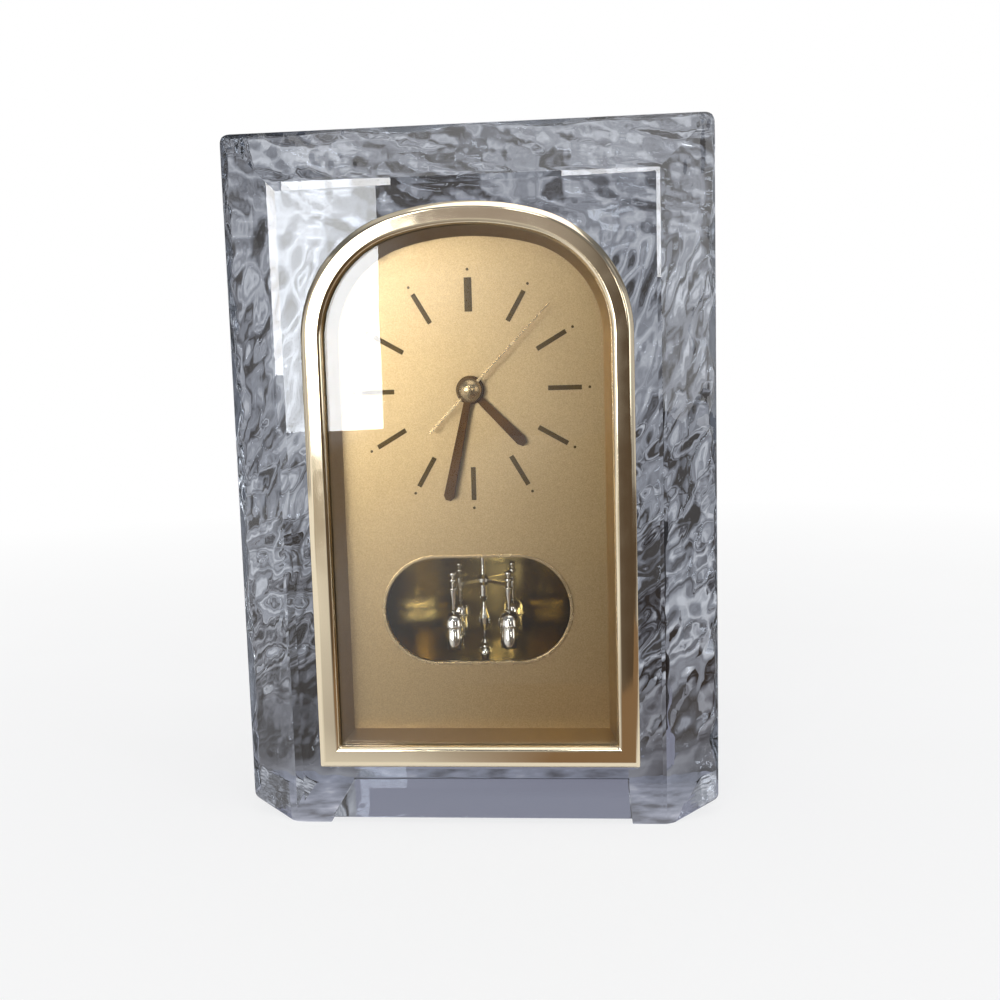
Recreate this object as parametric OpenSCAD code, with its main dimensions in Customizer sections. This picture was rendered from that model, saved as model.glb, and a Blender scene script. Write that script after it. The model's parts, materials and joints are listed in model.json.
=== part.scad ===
// Crystal mantel clock: a glass block with an arched dial and a turning pendulum.
// The front faces -Y, +Z is up, and the origin is under the middle of the clock.
// Depths are measured backwards from the front plane of the glass.

/* [Crystal block] */
// Width of the glass block
block_w = 142; // [136:1:160]
// Height of the glass block
block_h = 204; // [201:1:225]
// Depth of the glass block
block_d = 52; // [50:1:70]
// Width of the front bevel
bevel_w = 16.2; // [10:0.2:17]
// Depth of the front bevel
bevel_d = 8.3; // [4:0.1:12]
// Radius of the block's upper corners
corner_r = 3; // [1:0.5:8]
// Height of the rail between the feet over the floor
rail_lift = 1.7; // [0.5:0.1:4]
// Distance from the middle to the inner edge of a foot
foot_in = 45; // [30:1:48]
// Width of a foot's flat face
foot_w = 12; // [6:0.5:14]
// Height of the slope outside a foot
foot_rise = 4.2; // [1:0.1:8]
// Radius of the block's lower corners
foot_r = 3; // [1:0.5:8]

/* [Bezel] */
// Width of the bezel over its outer edge
bezel_w = 95.4; // [90:0.2:100]
// Height of the bezel's lower edge over the floor
bezel_bottom = 17.4; // [14:0.2:22]
// Height of the bezel's crown over the floor
bezel_top = 181.4; // [178:0.2:184]
// How much larger the arch's radius is at its crown than at its shoulders
crown_more = 40; // [30:1:60]
// Width of the outer slope of the bezel
bezel_slope_w = 1.8; // [0.6:0.1:3]
// Width of the flat face of the bezel
bezel_face_w = 3.9; // [2.5:0.1:5]
// Width of the inner slope of the bezel
bezel_lip_w = 0.9; // [0.3:0.1:1.2]
// How far the bezel's face stands proud of the glass
bezel_proud = 1.7; // [1.2:0.1:3]
// Thickness of the gaskets against the glass
gasket_t = 0.4; // [0.2:0.1:0.6]

/* [Insert] */
// Wall of the arched sleeve in the hole
sleeve_t = 1.2; // [0.8:0.1:2]
// Gap between the sleeve and the hole in the glass
sleeve_gap = 0.5; // [0.3:0.1:1]
// Gap between the sleeve and the plates inside it
plate_gap = 0.2; // [0.1:0.05:0.4]
// Thickness of the front lens
lens_t = 2; // [1:0.1:2.4]
// Depth of the sloping reveal between the lens and the dial
reveal_d = 7.6; // [7.4:0.1:9]
// How far the reveal slopes inwards
reveal_slope = 2.2; // [0.5:0.1:3]
// Thickness of the dial
dial_t = 0.8; // [0.5:0.1:1.5]
// Thickness of the plate behind the dial
frame_t = 2; // [1.5:0.1:3]
// Width of the ledge behind that plate
ledge_w = 1.6; // [0.8:0.1:2]
// Thickness of the ledge behind that plate
ledge_t = 1.2; // [0.8:0.1:2]

/* [Dial] */
// Height of the hands' axis over the floor
hands_z = 128.4; // [122:0.1:132]
// Inner radius of the hour bars
bar_r = 22.7; // [18:0.1:26]
// Length of an hour bar
bar_l = 9.8; // [6:0.1:11]
// Width of an hour bar
bar_w = 1.4; // [0.8:0.1:2]
// Width of the bar at twelve
bar_twelve_w = 2.2; // [1:0.1:3]
// Thickness of the hour bars
bar_t = 0.3; // [0.1:0.05:0.5]
// Radius of the ring of dots
dot_ring_r = 34.8; // [33.5:0.1:36]
// Radius of a dot
dot_r = 0.4; // [0.2:0.05:0.8]
// Length of the window
window_l = 55.6; // [46:0.2:60]
// Height of the window
window_h = 31.6; // [26:0.2:34]
// Height of the window's middle over the floor
window_z = 62.8; // [58:0.2:66]
// Width of the raised lip round the window
trim_w = 1; // [0.6:0.1:2]
// Height of the raised lip over the dial
trim_t = 0.6; // [0.3:0.1:1]

/* [Hands] */
// Length of the hour hand
hour_l = 22.5; // [16:0.5:26]
// Length of the minute hand
minute_l = 33; // [26:0.5:34]
// Length of the second hand
second_l = 34; // [26:0.5:35]
// Length of the second hand's tail
tail_l = 17; // [8:0.5:20]
// Width of the hour and minute hands at their tips
hand_w = 3.2; // [2:0.1:4]
// Width of the hour and minute hands at their hubs
hand_root_w = 2; // [1.2:0.1:3]
// Width of the second hand
second_w = 0.8; // [0.3:0.1:1]
// Thickness of the hour and minute hands
hand_t = 0.4; // [0.2:0.05:0.5]
// Gap from the dial to the hour hand, and from hand to hand
hand_gap = 1.2; // [0.9:0.1:1.3]
// Radius of the domed cap
cap_r = 3.6; // [2.5:0.1:4.5]
// Height of the domed cap
cap_h = 1.9; // [1.2:0.1:2.2]
// Hours shown at rest
rest_hours = 4; // [0:1:11]
// Minutes shown at rest
rest_minutes = 32; // [0:1:59]
// Seconds shown at rest
rest_seconds = 7.4; // [0:0.1:59]

/* [Movement] */
// Height of the movement over the hands' axis
move_up = 28; // [27:0.5:30]
// Depth of the movement
move_d = 18; // [17.6:0.1:20]
// Wall of the movement's case
move_t = 1.5; // [1.2:0.1:2]
// Distance from the centre arbor to the third and fifth wheels' arbors
train_a = 9.8; // [9.6:0.05:10.4]
// Distance from the centre arbor to the minute wheel's arbor
motion_a = 10; // [9.9:0.05:10.4]
// Distance from the fifth wheel's arbor to the rotor
rotor_a = 6; // [5.8:0.05:6.4]
// Radius of the steel arbors
arbor_r = 0.4; // [0.3:0.02:0.45]
// Radial running gap of arbors and pipes
run_gap = 0.05; // [0.02:0.01:0.08]
// Thickness of a wheel
wheel_t = 0.8; // [0.5:0.05:1]
// Distance between the layers of wheels
layer_t = 1.8; // [1.7:0.05:1.9]
// Radius of the battery cell
cell_r = 7.1; // [7:0.05:7.25]
// Length of the battery cell's body
cell_l = 49.2; // [48:0.1:49.6]
// Length of the battery cell's button
cell_nub_l = 1; // [0.8:0.1:1.2]
// Thickness of the battery contacts
contact_t = 0.4; // [0.2:0.05:0.5]
// Length of the button that presses the cell's flat end
button_l = 2.4; // [1.5:0.1:3]
// Radius of the setting knob
knob_r = 4.5; // [3.5:0.1:6]
// Height of the setting knob
knob_h = 3.2; // [2:0.1:5]

/* [Pendulum] */
// Depth of the pendulum's axis behind the front of the glass
pend_d = 29.6; // [28.8:0.1:30.4]
// Radius of the ring of weights
pend_r = 12.2; // [10:0.1:12.4]
// Radius of a weight's brim
brim_r = 3.7; // [2.5:0.1:3.9]
// Radius of a weight's body
weight_r = 3; // [2:0.1:3.2]
// Height of a weight's body
weight_h = 6.8; // [4:0.1:8]
// Height of the lower end of the weights over the floor
weight_z = 48.6; // [46:0.1:50]
// Height of the arms over the floor
arm_z = 67.8; // [66:0.1:69]
// Width of an arm
arm_w = 1.1; // [0.6:0.1:2]
// Height of the finial's lower end over the floor
finial_z = 42.6; // [42:0.1:44]
// Radius of the finial's cup
finial_r = 2.5; // [1.5:0.1:3]
// Wall of the pendulum chamber
chamber_t = 1.2; // [0.8:0.1:1.6]
// Radius of the chamber's curved wall
chamber_r = 29; // [28.4:0.1:29.5]
// Gap between the turning weights and the chamber's wall
chamber_gap = 0.8; // [0.5:0.1:1.5]
// Height of the chamber's floor over the base
chamber_floor = 40.4; // [39:0.1:41]
// Height of the chamber's ceiling over the base
chamber_top = 81.5; // [80:0.1:84]

/* [Back] */
// Thickness of the rear cover
cover_t = 2; // [1.6:0.1:3]
// Width of the rear door
door_w = 58; // [56:0.5:62]
// Height of the rear door
door_h = 60; // [56:0.5:64]
// Gap round the rear door
door_gap = 0.3; // [0.2:0.05:0.5]
// Radius of the rear door's hinge pins
hinge_r = 0.6; // [0.4:0.05:0.65]
// Radius of the screws' threads
screw_r = 1.2; // [0.8:0.05:1.4]
// Radius of the screws' heads
head_r = 2.3; // [1.8:0.1:2.6]
// Height of the screws' heads
head_t = 1.4; // [1:0.1:1.5]

/* [Hidden] */
$fn = 96;
small_fn = 48;

// How far the solids of one piece run into each other, and how far a cut runs past a face
join = 0.1;
over = 1;

// The deepest thing behind the glass is the rear cover, with its gasket
rear_proud = gasket_t + cover_t;
front_y = (bezel_proud - block_d - rear_proud) / 2;

// Arch outline of the bezel's outer edge: every other arch is this one, moved inwards.
// The crown meets a shoulder in the direction of a 7-24-25 triangle, so that the centres of the
// arcs have whole places.
arch_a = bezel_w / 2;
joint_dir = [0.28, 0.96];
shoulder_x = joint_dir[0] * crown_more;
shoulder_r = arch_a - shoulder_x;
crown_r = shoulder_r + crown_more;
spring_z = bezel_top - crown_r + joint_dir[1] * crown_more;
crown_z = bezel_top - crown_r;

// Insets from the bezel's outer edge
lip_in = bezel_slope_w + bezel_face_w + bezel_lip_w;
sleeve_under = 0.4;
sleeve_in = bezel_slope_w + bezel_face_w - sleeve_t - sleeve_under;
hole_in = sleeve_in - sleeve_gap;
plate_in = sleeve_in + sleeve_t + plate_gap;
reveal_in = lip_in + reveal_slope;
flange_in = 0.5;
reveal_step = 0.1;

// Depths behind the front of the glass
lens_d = 0.9;
reveal_front = lens_d + lens_t;
dial_d = reveal_front + reveal_d;
frame_d = dial_d + dial_t;
bar_d = dial_d - bar_t;
hour_d = dial_d - hand_gap - hand_t;
minute_d = hour_d - hand_gap - hand_t;
second_t = 0.3;
second_d = minute_d - hand_gap - second_t;
cap_d = second_d - cap_h;
back_d = block_d + gasket_t;

// Depths of the layers of wheels, from the dial backwards
move_front = frame_d;
hour_layer = move_front + move_t + 0.6;
motion_layer = hour_layer + layer_t;
centre_layer = motion_layer + layer_t;
third_layer = centre_layer + layer_t;
fourth_layer = third_layer + layer_t;
fifth_layer = fourth_layer + layer_t;
rotor_layer = fifth_layer + 1.3;
lid_d = move_front + move_d - move_t;
lid_back = lid_d + move_t;
pinion_over = 0.2;

// How deep the arbors' pivots reach into the case and the lid, and the play at their ends
pivot_in = 0.8;
pivot_play = 0.2;

// Places of the arbors beside the centre arbor, as directions seen from the front
third_dir = 90;
fifth_dir = 0;
motion_dir = 180;
rotor_dir = 20;
third_at = [train_a * cos(third_dir), train_a * sin(third_dir)];
fifth_at = [train_a * cos(fifth_dir), train_a * sin(fifth_dir)];
motion_at = [motion_a * cos(motion_dir), motion_a * sin(motion_dir)];
rotor_at = [fifth_at[0] + rotor_a * cos(rotor_dir), fifth_at[1] + rotor_a * sin(rotor_dir)];

// Teeth of each wheel and pinion
rotor_n = 8;
fifth_n = 40;
fifth_pinion_n = 10;
fourth_n = 60;
fourth_pinion_n = 8;
third_n = 60;
third_pinion_n = 8;
centre_n = 64;
cannon_n = 12;
minute_n = 36;
minute_pinion_n = 10;
hour_n = 40;

// How far a tooth reaches over the pitch circle and under it, in modules
tooth_tip = 0.75;
tooth_root = 1.15;

// Pipes round the centre arbor, from the inside outwards
second_shaft_r = 0.45;
tube_in_r = second_shaft_r + run_gap;
tube_out_r = 0.95;
cannon_in_r = tube_out_r + run_gap;
cannon_out_r = 1.5;
hour_in_r = cannon_out_r + run_gap;
hour_out_r = 2.1;
collar_in_r = hour_out_r + run_gap;
collar_out_r = 3.2;
collar_gap = 0.1;
tube_over = 0.2;
cannon_play = 0.3;

// Hubs of the hands, and how long the bevelled ends of their tips are
hour_hub_r = 4.2;
minute_hub_r = 3.8;
second_hub_r = 2.4;
hour_tip = 1.6;
minute_tip = 1.2;

// Angles of the hands at rest, anticlockwise from the right as seen from the front
second_angle = 90 - 6 * rest_seconds;
minute_angle = 90 - 6 * (rest_minutes + rest_seconds / 60);
hour_angle = 90 - 30 * (rest_hours + rest_minutes / 60);

// The battery lies under the largest wheel, and the movement is as wide as it and its contacts
move_w = cell_l + cell_nub_l + contact_t + button_l + 2 * move_t;
wheel_reach = tooth_size(train_a, third_pinion_n, centre_n) * (centre_n / 2 + tooth_tip);
train_gap = 0.48;
cell_gap = 0.3;
cell_over = 0.4;
cell_under = 1;
tray_top = hands_z - wheel_reach - train_gap - move_t;
cell_z = tray_top - cell_over - cell_r;
cell_d = move_front + move_t + cell_r + cell_gap;
cell_end = move_w / 2 - move_t - contact_t - cell_nub_l;
cell_nub_r = 2.7;
contact_w = 10;
move_low = cell_z - cell_r - cell_under - move_t;
move_high = hands_z + move_up;

// Electric parts of the movement, placed from the hands' axis
board_w = 15;
board_h = 12;
board_t = 1;
board_side = 2;
board_drop = 1.5;
board_x = -move_w / 2 + move_t + board_side;
board_z = move_up - move_t - board_drop - board_h;
can_r = 1.1;
can_l = 6;
rotor_r = 2.5;
rotor_l = 2.2;
rotor_air = 0.4;
stator_w = 3;
stator_t = 1.2;
stator_d = rotor_layer + (rotor_l - stator_t) / 2;
stator_side = 2.5;
stator_drop = 5.5;
stator_right = move_w / 2 - move_t - stator_side;
stator_top = move_up - move_t - stator_drop;
stator_eye = 5;
pad_r = 1.2;
coil_l = 22;
coil_r = 2.2;
coil_end_r = 2.7;
coil_end_t = 1;
coil_slot_gap = 0.1;
coil_x = stator_right - stator_w - coil_end_t - coil_l;
coil_z = stator_top - stator_w / 2;
stator_reach = 4;
stator_left = coil_x - coil_end_t - stator_reach;
pad_up = 12;
pad_in = 2;
stator_pad_at = [[stator_right - stator_w / 2, pad_up], [stator_left + pad_in, coil_z]];
knob_shaft_r = 1;
knob_gap = 0.8;
flute_r = 0.8;

// The rear door and its hinge
door_z = hands_z - door_h / 2;
hinge_barrel_r = cover_t / 2;
hinge_d = back_d + hinge_barrel_r;
hinge_z = door_z + hinge_barrel_r;
hinge_l = 2.5;
hinge_play = 0.4;
notch_r = 4;
notch_up = 5;
notch_t = 0.8;

// Screws that hold the rear cover, as places [x, z]
boss_r = 3;
boss_l = 12;
boss_floor = 2;
boss_bite = 0.8;
boss_in = sleeve_in + sleeve_t + boss_r - boss_bite;
boss_turn = 40;
boss_low = [arch_a - boss_in, bezel_bottom + boss_in];
boss_high = [
    shoulder_x + (shoulder_r - boss_in) * cos(boss_turn),
    spring_z + (shoulder_r - boss_in) * sin(boss_turn)
];
cover_screw_at = [for (side = [-1, 1], p = [boss_low, boss_high]) [side * p[0], p[1]]];

// How far a screw's clearance hole is wider than its thread or its head, on the radius
screw_gap = 0.2;
recess_w = 0.7;
recess_t = 0.6;
tip_gap = 2;
cover_screw_l = gasket_t + cover_t - head_t + boss_l - boss_floor - tip_gap;

// Screws that hold the movement by its ears
ear_l = 5.5;
ear_h = 8;
ear_t = 1.6;
ear_z = 20;
move_screw_at = [for (sx = [-1, 1], sz = [-1, 1])
    [sx * (move_w / 2 + ear_l / 2), hands_z + sz * ear_z]];

// Screws that hold the chamber by its flange
flange_w = 5.5;
flange_screw_z = 14;
chamber_mid_z = (chamber_floor + chamber_top) / 2;
chamber_screw_at = [for (sx = [-1, 1], sz = [-1, 1])
    [sx * (chamber_r + chamber_t + flange_w / 2), chamber_mid_z + sz * flange_screw_z]];
chamber_front = frame_d;

// The unit that swings the pendulum, over the chamber's ceiling
roof_z = chamber_top + chamber_t;
drive_r = 9;
drive_h = 9.4;
winding_r = 6.4;
winding_in_r = 2.4;
winding_t = 2;
magnet_r = 6;
magnet_t = 2;
magnet_z = roof_z + 2.6;
spindle_r = 0.8;
bush_r = 2.5;
bush_rim_r = 3.2;
bush_rim_t = 0.8;
shoulder_z = roof_z + bush_rim_t + run_gap;
collar_r = 2;
post_r = 0.6;
finial_h = 4.6;
weight_dome = 4.6;
dome_edge = 0.6;
post_foot_r = 1;

// Carries a flat outline, drawn as seen from the front, to the depths from d0 to d1
module slab(d0, d1) {
    translate([0, front_y + d1, 0]) rotate([90, 0, 0]) linear_extrude(d1 - d0) children();
}

// Places children, whose own axis is Z, with that axis pointing backwards at depth d0
module backwards(x, z, d0) {
    translate([x, front_y + d0, z]) rotate([-90, 0, 0]) children();
}

// A round rod from depth d0 to d1 at [x, z]
module rod(x, z, d0, d1, r, fn = small_fn) {
    backwards(x, z, d0) cylinder(h = d1 - d0, r = r, $fn = fn);
}

// A round pipe from depth d0 to d1 at [x, z]
module pipe(x, z, d0, d1, r_out, r_in) {
    backwards(x, z, d0) difference() {
        cylinder(h = d1 - d0, r = r_out, $fn = small_fn);
        translate([0, 0, -over]) cylinder(h = d1 - d0 + 2 * over, r = r_in, $fn = small_fn);
    }
}

// A screw from behind: its head from depth d0, its shank towards the front
module screw(x, z, d0, shank) {
    backwards(x, z, d0 - shank) difference() {
        union() {
            cylinder(h = shank + join, r = screw_r, $fn = small_fn);
            translate([0, 0, shank]) cylinder(h = head_t, r = head_r, $fn = small_fn);
        }
        for (turn = [0, 90]) translate([0, 0, shank + head_t]) rotate([0, 0, turn])
            cube([head_r * 1.3, recess_w, 2 * recess_t], center = true);
    }
}

// The arch outline, moved inwards from the bezel's outer edge
module arch(inset) {
    a = arch_a - inset;
    r_s = shoulder_r - inset;
    r_c = crown_r - inset;
    low = bezel_bottom + inset;
    translate([-a, low]) square([2 * a, spring_z - low]);
    for (side = [-1, 1]) translate([side * shoulder_x, spring_z]) circle(r = r_s);
    translate([0, crown_z]) intersection() {
        circle(r = r_c);
        crown_wedge();
    }
}

// The wedge about the crown's centre that holds the crown's arc
module crown_wedge() {
    far = 2 * crown_r;
    polygon([
        [0, 0], [far * joint_dir[0], far * joint_dir[1]], [-far * joint_dir[0], far * joint_dir[1]]
    ]);
}

// The wedge about the right shoulder's centre that holds the shoulder's arc
module shoulder_wedge() {
    far = 2 * crown_r;
    polygon([[0, 0], [far, 0], [far, far], [far * joint_dir[0], far * joint_dir[1]]]);
}

// A flat ring between two arches
module arch_ring(out_in, in_in) {
    difference() {
        arch(out_in);
        arch(in_in);
    }
}

// Turns a profile of points [inset, depth] about [x, z], and keeps what lies in a wedge
module arch_arc(x, z, r, profile) {
    translate([x, front_y, z]) rotate([90, 0, 0]) intersection() {
        rotate([0, 0, -90]) rotate_extrude() polygon([for (p = profile) [r - p[0], -p[1]]]);
        translate([0, 0, -block_d]) linear_extrude(2 * block_d) children();
    }
}

// Runs a profile of points [inset, depth] round the whole arch, mitred at the lower corners
module arch_run(profile) {
    reach = bezel_w;
    for (side = [0, 1]) mirror([side, 0, 0]) {
        arch_arc(shoulder_x, spring_z, shoulder_r, profile) shoulder_wedge();
        intersection() {
            translate([0, front_y, 0]) linear_extrude(spring_z)
                polygon([for (p = profile) [arch_a - p[0], p[1]]]);
            slab(-reach, reach) polygon([
                [arch_a + reach, bezel_bottom - reach], [arch_a + reach, spring_z],
                [arch_a - reach / 2, spring_z], [arch_a - reach / 2, bezel_bottom + reach / 2]
            ]);
        }
    }
    arch_arc(0, crown_z, crown_r, profile) crown_wedge();
    intersection() {
        translate([-reach, front_y, 0]) rotate([90, 0, 90]) linear_extrude(2 * reach)
            polygon([for (p = profile) [p[1], bezel_bottom + p[0]]]);
        slab(-reach, reach) polygon([
            [-arch_a - reach, bezel_bottom - reach], [arch_a + reach, bezel_bottom - reach],
            [0, bezel_bottom + arch_a]
        ]);
    }
}

// A stadium outline round the window's middle
module stadium(length, height) {
    translate([0, window_z]) {
        square([length - height, height], center = true);
        for (side = [-1, 1]) translate([side * (length - height) / 2, 0]) circle(d = height);
    }
}

// The outline of a toothed wheel about the origin, with one tooth at angle turn
module teeth(n, module_mm, turn) {
    pitch = 360 / n;
    root = module_mm * (n / 2 - tooth_root);
    tip = module_mm * (n / 2 + tooth_tip);
    mid = module_mm * n / 2;
    circle(r = root + 0.02);
    polygon([for (i = [0 : n - 1], k = [0 : 5])
        let (
            side = k < 3 ? -1 : 1,
            step = k < 3 ? k : 5 - k,
            r = [root, mid, tip][step],
            half = [0.25, 0.19, 0.08][step] * pitch,
            angle = turn + i * pitch + side * half
        )
        [r * cos(angle), r * sin(angle)]
    ]);
}

// The turn of a wheel's first tooth that meshes it with a wheel in direction dir
function meshed(turn_1, n_1, n_2, dir) = dir + 180 - ((turn_1 - dir) * n_1 + 180) / n_2;

// Size of teeth for two wheels on arbors a given distance apart
function tooth_size(distance, n_1, n_2) = 2 * distance / (n_1 + n_2);

// A toothed wheel at [x, z] from depth d0 to d1, with a bore
module wheel(x, z, d0, d1, n, module_mm, turn, bore) {
    slab(d0, d1) translate([x, z]) difference() {
        teeth(n, module_mm, turn);
        circle(r = bore, $fn = small_fn);
    }
}

module crystal_block() {
    color([0.72, 0.76, 0.82, 0.5]) intersection() {
        slab(0, block_d) difference() {
            block_outline();
            arch(hole_in);
        }
        translate([0, front_y, -over]) linear_extrude(block_h + 2 * over) polygon([
            [-block_w / 2 + bevel_w, 0], [block_w / 2 - bevel_w, 0],
            [block_w / 2, bevel_d], [block_w / 2, block_d],
            [-block_w / 2, block_d], [-block_w / 2, bevel_d]
        ]);
        translate([-block_w, front_y, 0]) rotate([90, 0, 90]) linear_extrude(2 * block_w)
            polygon([
                [0, -over], [block_d, -over], [block_d, block_h],
                [bevel_d, block_h], [0, block_h - bevel_w]
            ]);
    }
}

// The front outline of the glass, with its two feet
module block_outline() {
    half = block_w / 2;
    difference() {
        union() {
            translate([-half, foot_rise + foot_r])
                square([block_w, block_h - foot_rise - foot_r - corner_r]);
            translate([-half + corner_r, block_h / 2])
                square([block_w - 2 * corner_r, block_h / 2]);
            for (side = [-1, 1]) translate([side * (half - corner_r), block_h - corner_r])
                circle(r = corner_r);
            for (side = [-1, 1]) translate([side * (half - foot_r), foot_rise + foot_r])
                circle(r = foot_r);
            polygon([
                [-foot_in - foot_w, 0], [foot_in + foot_w, 0],
                [half - foot_r, foot_rise], [half - foot_r, block_h / 2],
                [-half + foot_r, block_h / 2], [-half + foot_r, foot_rise]
            ]);
        }
        polygon([
            [-foot_in, -over], [foot_in, -over], [foot_in, 0],
            [foot_in - rail_lift, rail_lift], [rail_lift - foot_in, rail_lift], [-foot_in, 0]
        ]);
    }
}

module bezel() {
    color([0.86, 0.78, 0.6]) arch_run([
        [0, -gasket_t], [bezel_slope_w, -bezel_proud],
        [bezel_slope_w + bezel_face_w, -bezel_proud],
        [lip_in, bezel_lip_w - bezel_proud], [lip_in, lens_d],
        [plate_in, lens_d], [plate_in, -gasket_t]
    ]);
}

module front_gasket() {
    color([0.16, 0.15, 0.14]) slab(-gasket_t, 0) arch_ring(flange_in, sleeve_in);
}

module front_lens() {
    color([0.85, 0.9, 0.92, 0.3]) slab(lens_d, reveal_front) arch(plate_in);
}

module inner_frame() {
    color([0.78, 0.66, 0.42]) arch_run([
        [plate_in, reveal_front], [lip_in + reveal_step, reveal_front],
        [reveal_in, dial_d], [plate_in, dial_d]
    ]);
}

module case_sleeve() {
    color([0.62, 0.62, 0.63]) difference() {
        union() {
            slab(-gasket_t, block_d) arch_ring(sleeve_in, sleeve_in + sleeve_t);
            slab(frame_d + frame_t, frame_d + frame_t + ledge_t)
                arch_ring(sleeve_in + sleeve_t - join, sleeve_in + sleeve_t + ledge_w);
            for (p = cover_screw_at) rod(p[0], p[1], block_d - boss_l, block_d, boss_r);
        }
        for (p = cover_screw_at)
            rod(p[0], p[1], block_d - boss_l + boss_floor, block_d + over, screw_r);
    }
}

module dial_plate() {
    color([0.84, 0.73, 0.5]) slab(dial_d, frame_d) difference() {
        arch(plate_in);
        stadium(window_l, window_h);
        translate([0, hands_z]) circle(r = collar_out_r + collar_gap);
    }
}

module hour_markers() {
    color([0.3, 0.24, 0.13]) slab(bar_d, dial_d) translate([0, hands_z])
        for (i = [0 : 11]) rotate(-30 * i) translate([0, bar_r + bar_l / 2])
            square([i == 0 ? bar_twelve_w : bar_w, bar_l], center = true);
}

module hour_dots() {
    color([0.3, 0.24, 0.13]) slab(bar_d, dial_d) translate([0, hands_z])
        for (i = [0 : 11]) rotate(-30 * i) translate([0, dot_ring_r])
            circle(r = dot_r, $fn = small_fn);
}

module window_trim() {
    color([0.86, 0.8, 0.62]) slab(dial_d - trim_t, dial_d) difference() {
        stadium(window_l + 2 * trim_w, window_h + 2 * trim_w);
        stadium(window_l, window_h);
    }
}

module mount_frame() {
    color([0.2, 0.2, 0.2]) slab(frame_d, frame_d + frame_t) difference() {
        arch(plate_in);
        translate([-move_w / 2 - plate_gap, move_low - plate_gap])
            square([move_w + 2 * plate_gap, move_high - move_low + 2 * plate_gap]);
        translate([-chamber_r - chamber_t - plate_gap, chamber_floor - chamber_t - plate_gap])
            square([2 * (chamber_r + chamber_t + plate_gap),
                chamber_top - chamber_floor + 2 * (chamber_t + plate_gap)]);
        for (p = concat(move_screw_at, chamber_screw_at)) translate(p)
            circle(r = screw_r, $fn = small_fn);
    }
}

// A hand of the given length about the origin, pointing along +X, widest near its tip
module hand_outline(length, hub_r, tip) {
    circle(r = hub_r, $fn = small_fn);
    polygon([
        [0, -hand_root_w / 2], [length - tip, -hand_w / 2], [length, -hand_w / 4],
        [length, hand_w / 4], [length - tip, hand_w / 2], [0, hand_root_w / 2]
    ]);
}

module hour_hand() {
    color([0.42, 0.3, 0.16]) slab(hour_d, hour_d + hand_t) translate([0, hands_z])
        rotate(hour_angle) difference() {
            hand_outline(hour_l, hour_hub_r, hour_tip);
            circle(r = cannon_out_r + run_gap, $fn = small_fn);
        }
}

module minute_hand() {
    color([0.42, 0.3, 0.16]) slab(minute_d, minute_d + hand_t) translate([0, hands_z])
        rotate(minute_angle) difference() {
            hand_outline(minute_l, minute_hub_r, minute_tip);
            circle(r = tube_out_r, $fn = small_fn);
        }
}

module second_hand() {
    color([0.8, 0.68, 0.42]) slab(second_d, second_d + second_t) translate([0, hands_z])
        rotate(second_angle) difference() {
            union() {
                circle(r = second_hub_r, $fn = small_fn);
                polygon([
                    [-tail_l, -second_w / 2], [0, -second_w / 2], [second_l, -second_w / 4],
                    [second_l, second_w / 4], [0, second_w / 2], [-tail_l, second_w / 2]
                ]);
            }
            circle(r = second_shaft_r, $fn = small_fn);
        }
}

// A low dome, cut from a ball, that covers the middle of the hands
module hand_cap() {
    ball_r = (cap_r * cap_r + cap_h * cap_h) / (2 * cap_h);
    color([0.84, 0.74, 0.5]) intersection() {
        backwards(0, hands_z, cap_d + ball_r) sphere(r = ball_r);
        rod(0, hands_z, cap_d - over, second_d, cap_r + over, $fn);
    }
}

// The clearance holes of the movement's four screws, and of the chamber's four
module screw_holes(places, d0, d1) {
    for (p = places) rod(p[0], p[1], d0, d1 + over, screw_r + screw_gap);
}

// Blind holes for the pivots of the arbors at the given places
module pivot_holes(places, d0, d1) {
    for (p = places) rod(p[0], hands_z + p[1], d0, d1, arbor_r + run_gap);
}

// The movement's front shell, open at the back, with a tray for the battery and four ears
module movement_case() {
    inner = move_w / 2 - move_t;
    ear_back = frame_d + frame_t + ear_t;
    color([0.15, 0.15, 0.16]) difference() {
        union() {
            difference() {
                slab(move_front, lid_d) translate([-move_w / 2, move_low])
                    square([move_w, move_high - move_low]);
                slab(move_front + move_t, lid_d + over) translate([-inner, tray_top + move_t])
                    square([2 * inner, move_high - tray_top - 2 * move_t]);
                slab(move_front + move_t, lid_d + over) translate([-inner, move_low + move_t])
                    square([2 * inner, tray_top - move_low - move_t]);
            }
            for (p = move_screw_at)
                slab(frame_d + frame_t, ear_back) translate([p[0] - sign(p[0]) * join, p[1]])
                    square([ear_l + 2 * join, ear_h], center = true);
            pipe(0, hands_z, dial_d, move_front + join, collar_out_r, collar_in_r);
        }
        rod(0, hands_z, dial_d - over, move_front + move_t + over, collar_in_r);
        screw_holes(move_screw_at, frame_d, ear_back);
        pivot_holes([third_at, fifth_at, motion_at, rotor_at],
            move_front + move_t - pivot_in - pivot_play, move_front + move_t + over);
    }
}

// The movement's rear plate over the train; the battery tray below it stays open
module movement_lid() {
    color([0.17, 0.17, 0.18]) difference() {
        union() {
            slab(lid_d, lid_back) translate([-move_w / 2, tray_top])
                square([move_w, move_high - tray_top]);
            for (p = stator_pad_at)
                rod(p[0], hands_z + p[1], stator_d + stator_t, lid_d + join, pad_r);
        }
        rod(motion_at[0], hands_z + motion_at[1], lid_d - over, lid_back + over,
            knob_shaft_r + run_gap);
        rod(0, hands_z, lid_d - over, lid_d + pivot_in + pivot_play, second_shaft_r + run_gap);
        pivot_holes([third_at, fifth_at, rotor_at], lid_d - over, lid_d + pivot_in + pivot_play);
    }
}

module movement_screws() {
    color([0.7, 0.7, 0.7]) for (p = move_screw_at)
        screw(p[0], p[1], frame_d + frame_t + ear_t, frame_t + ear_t);
}

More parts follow.
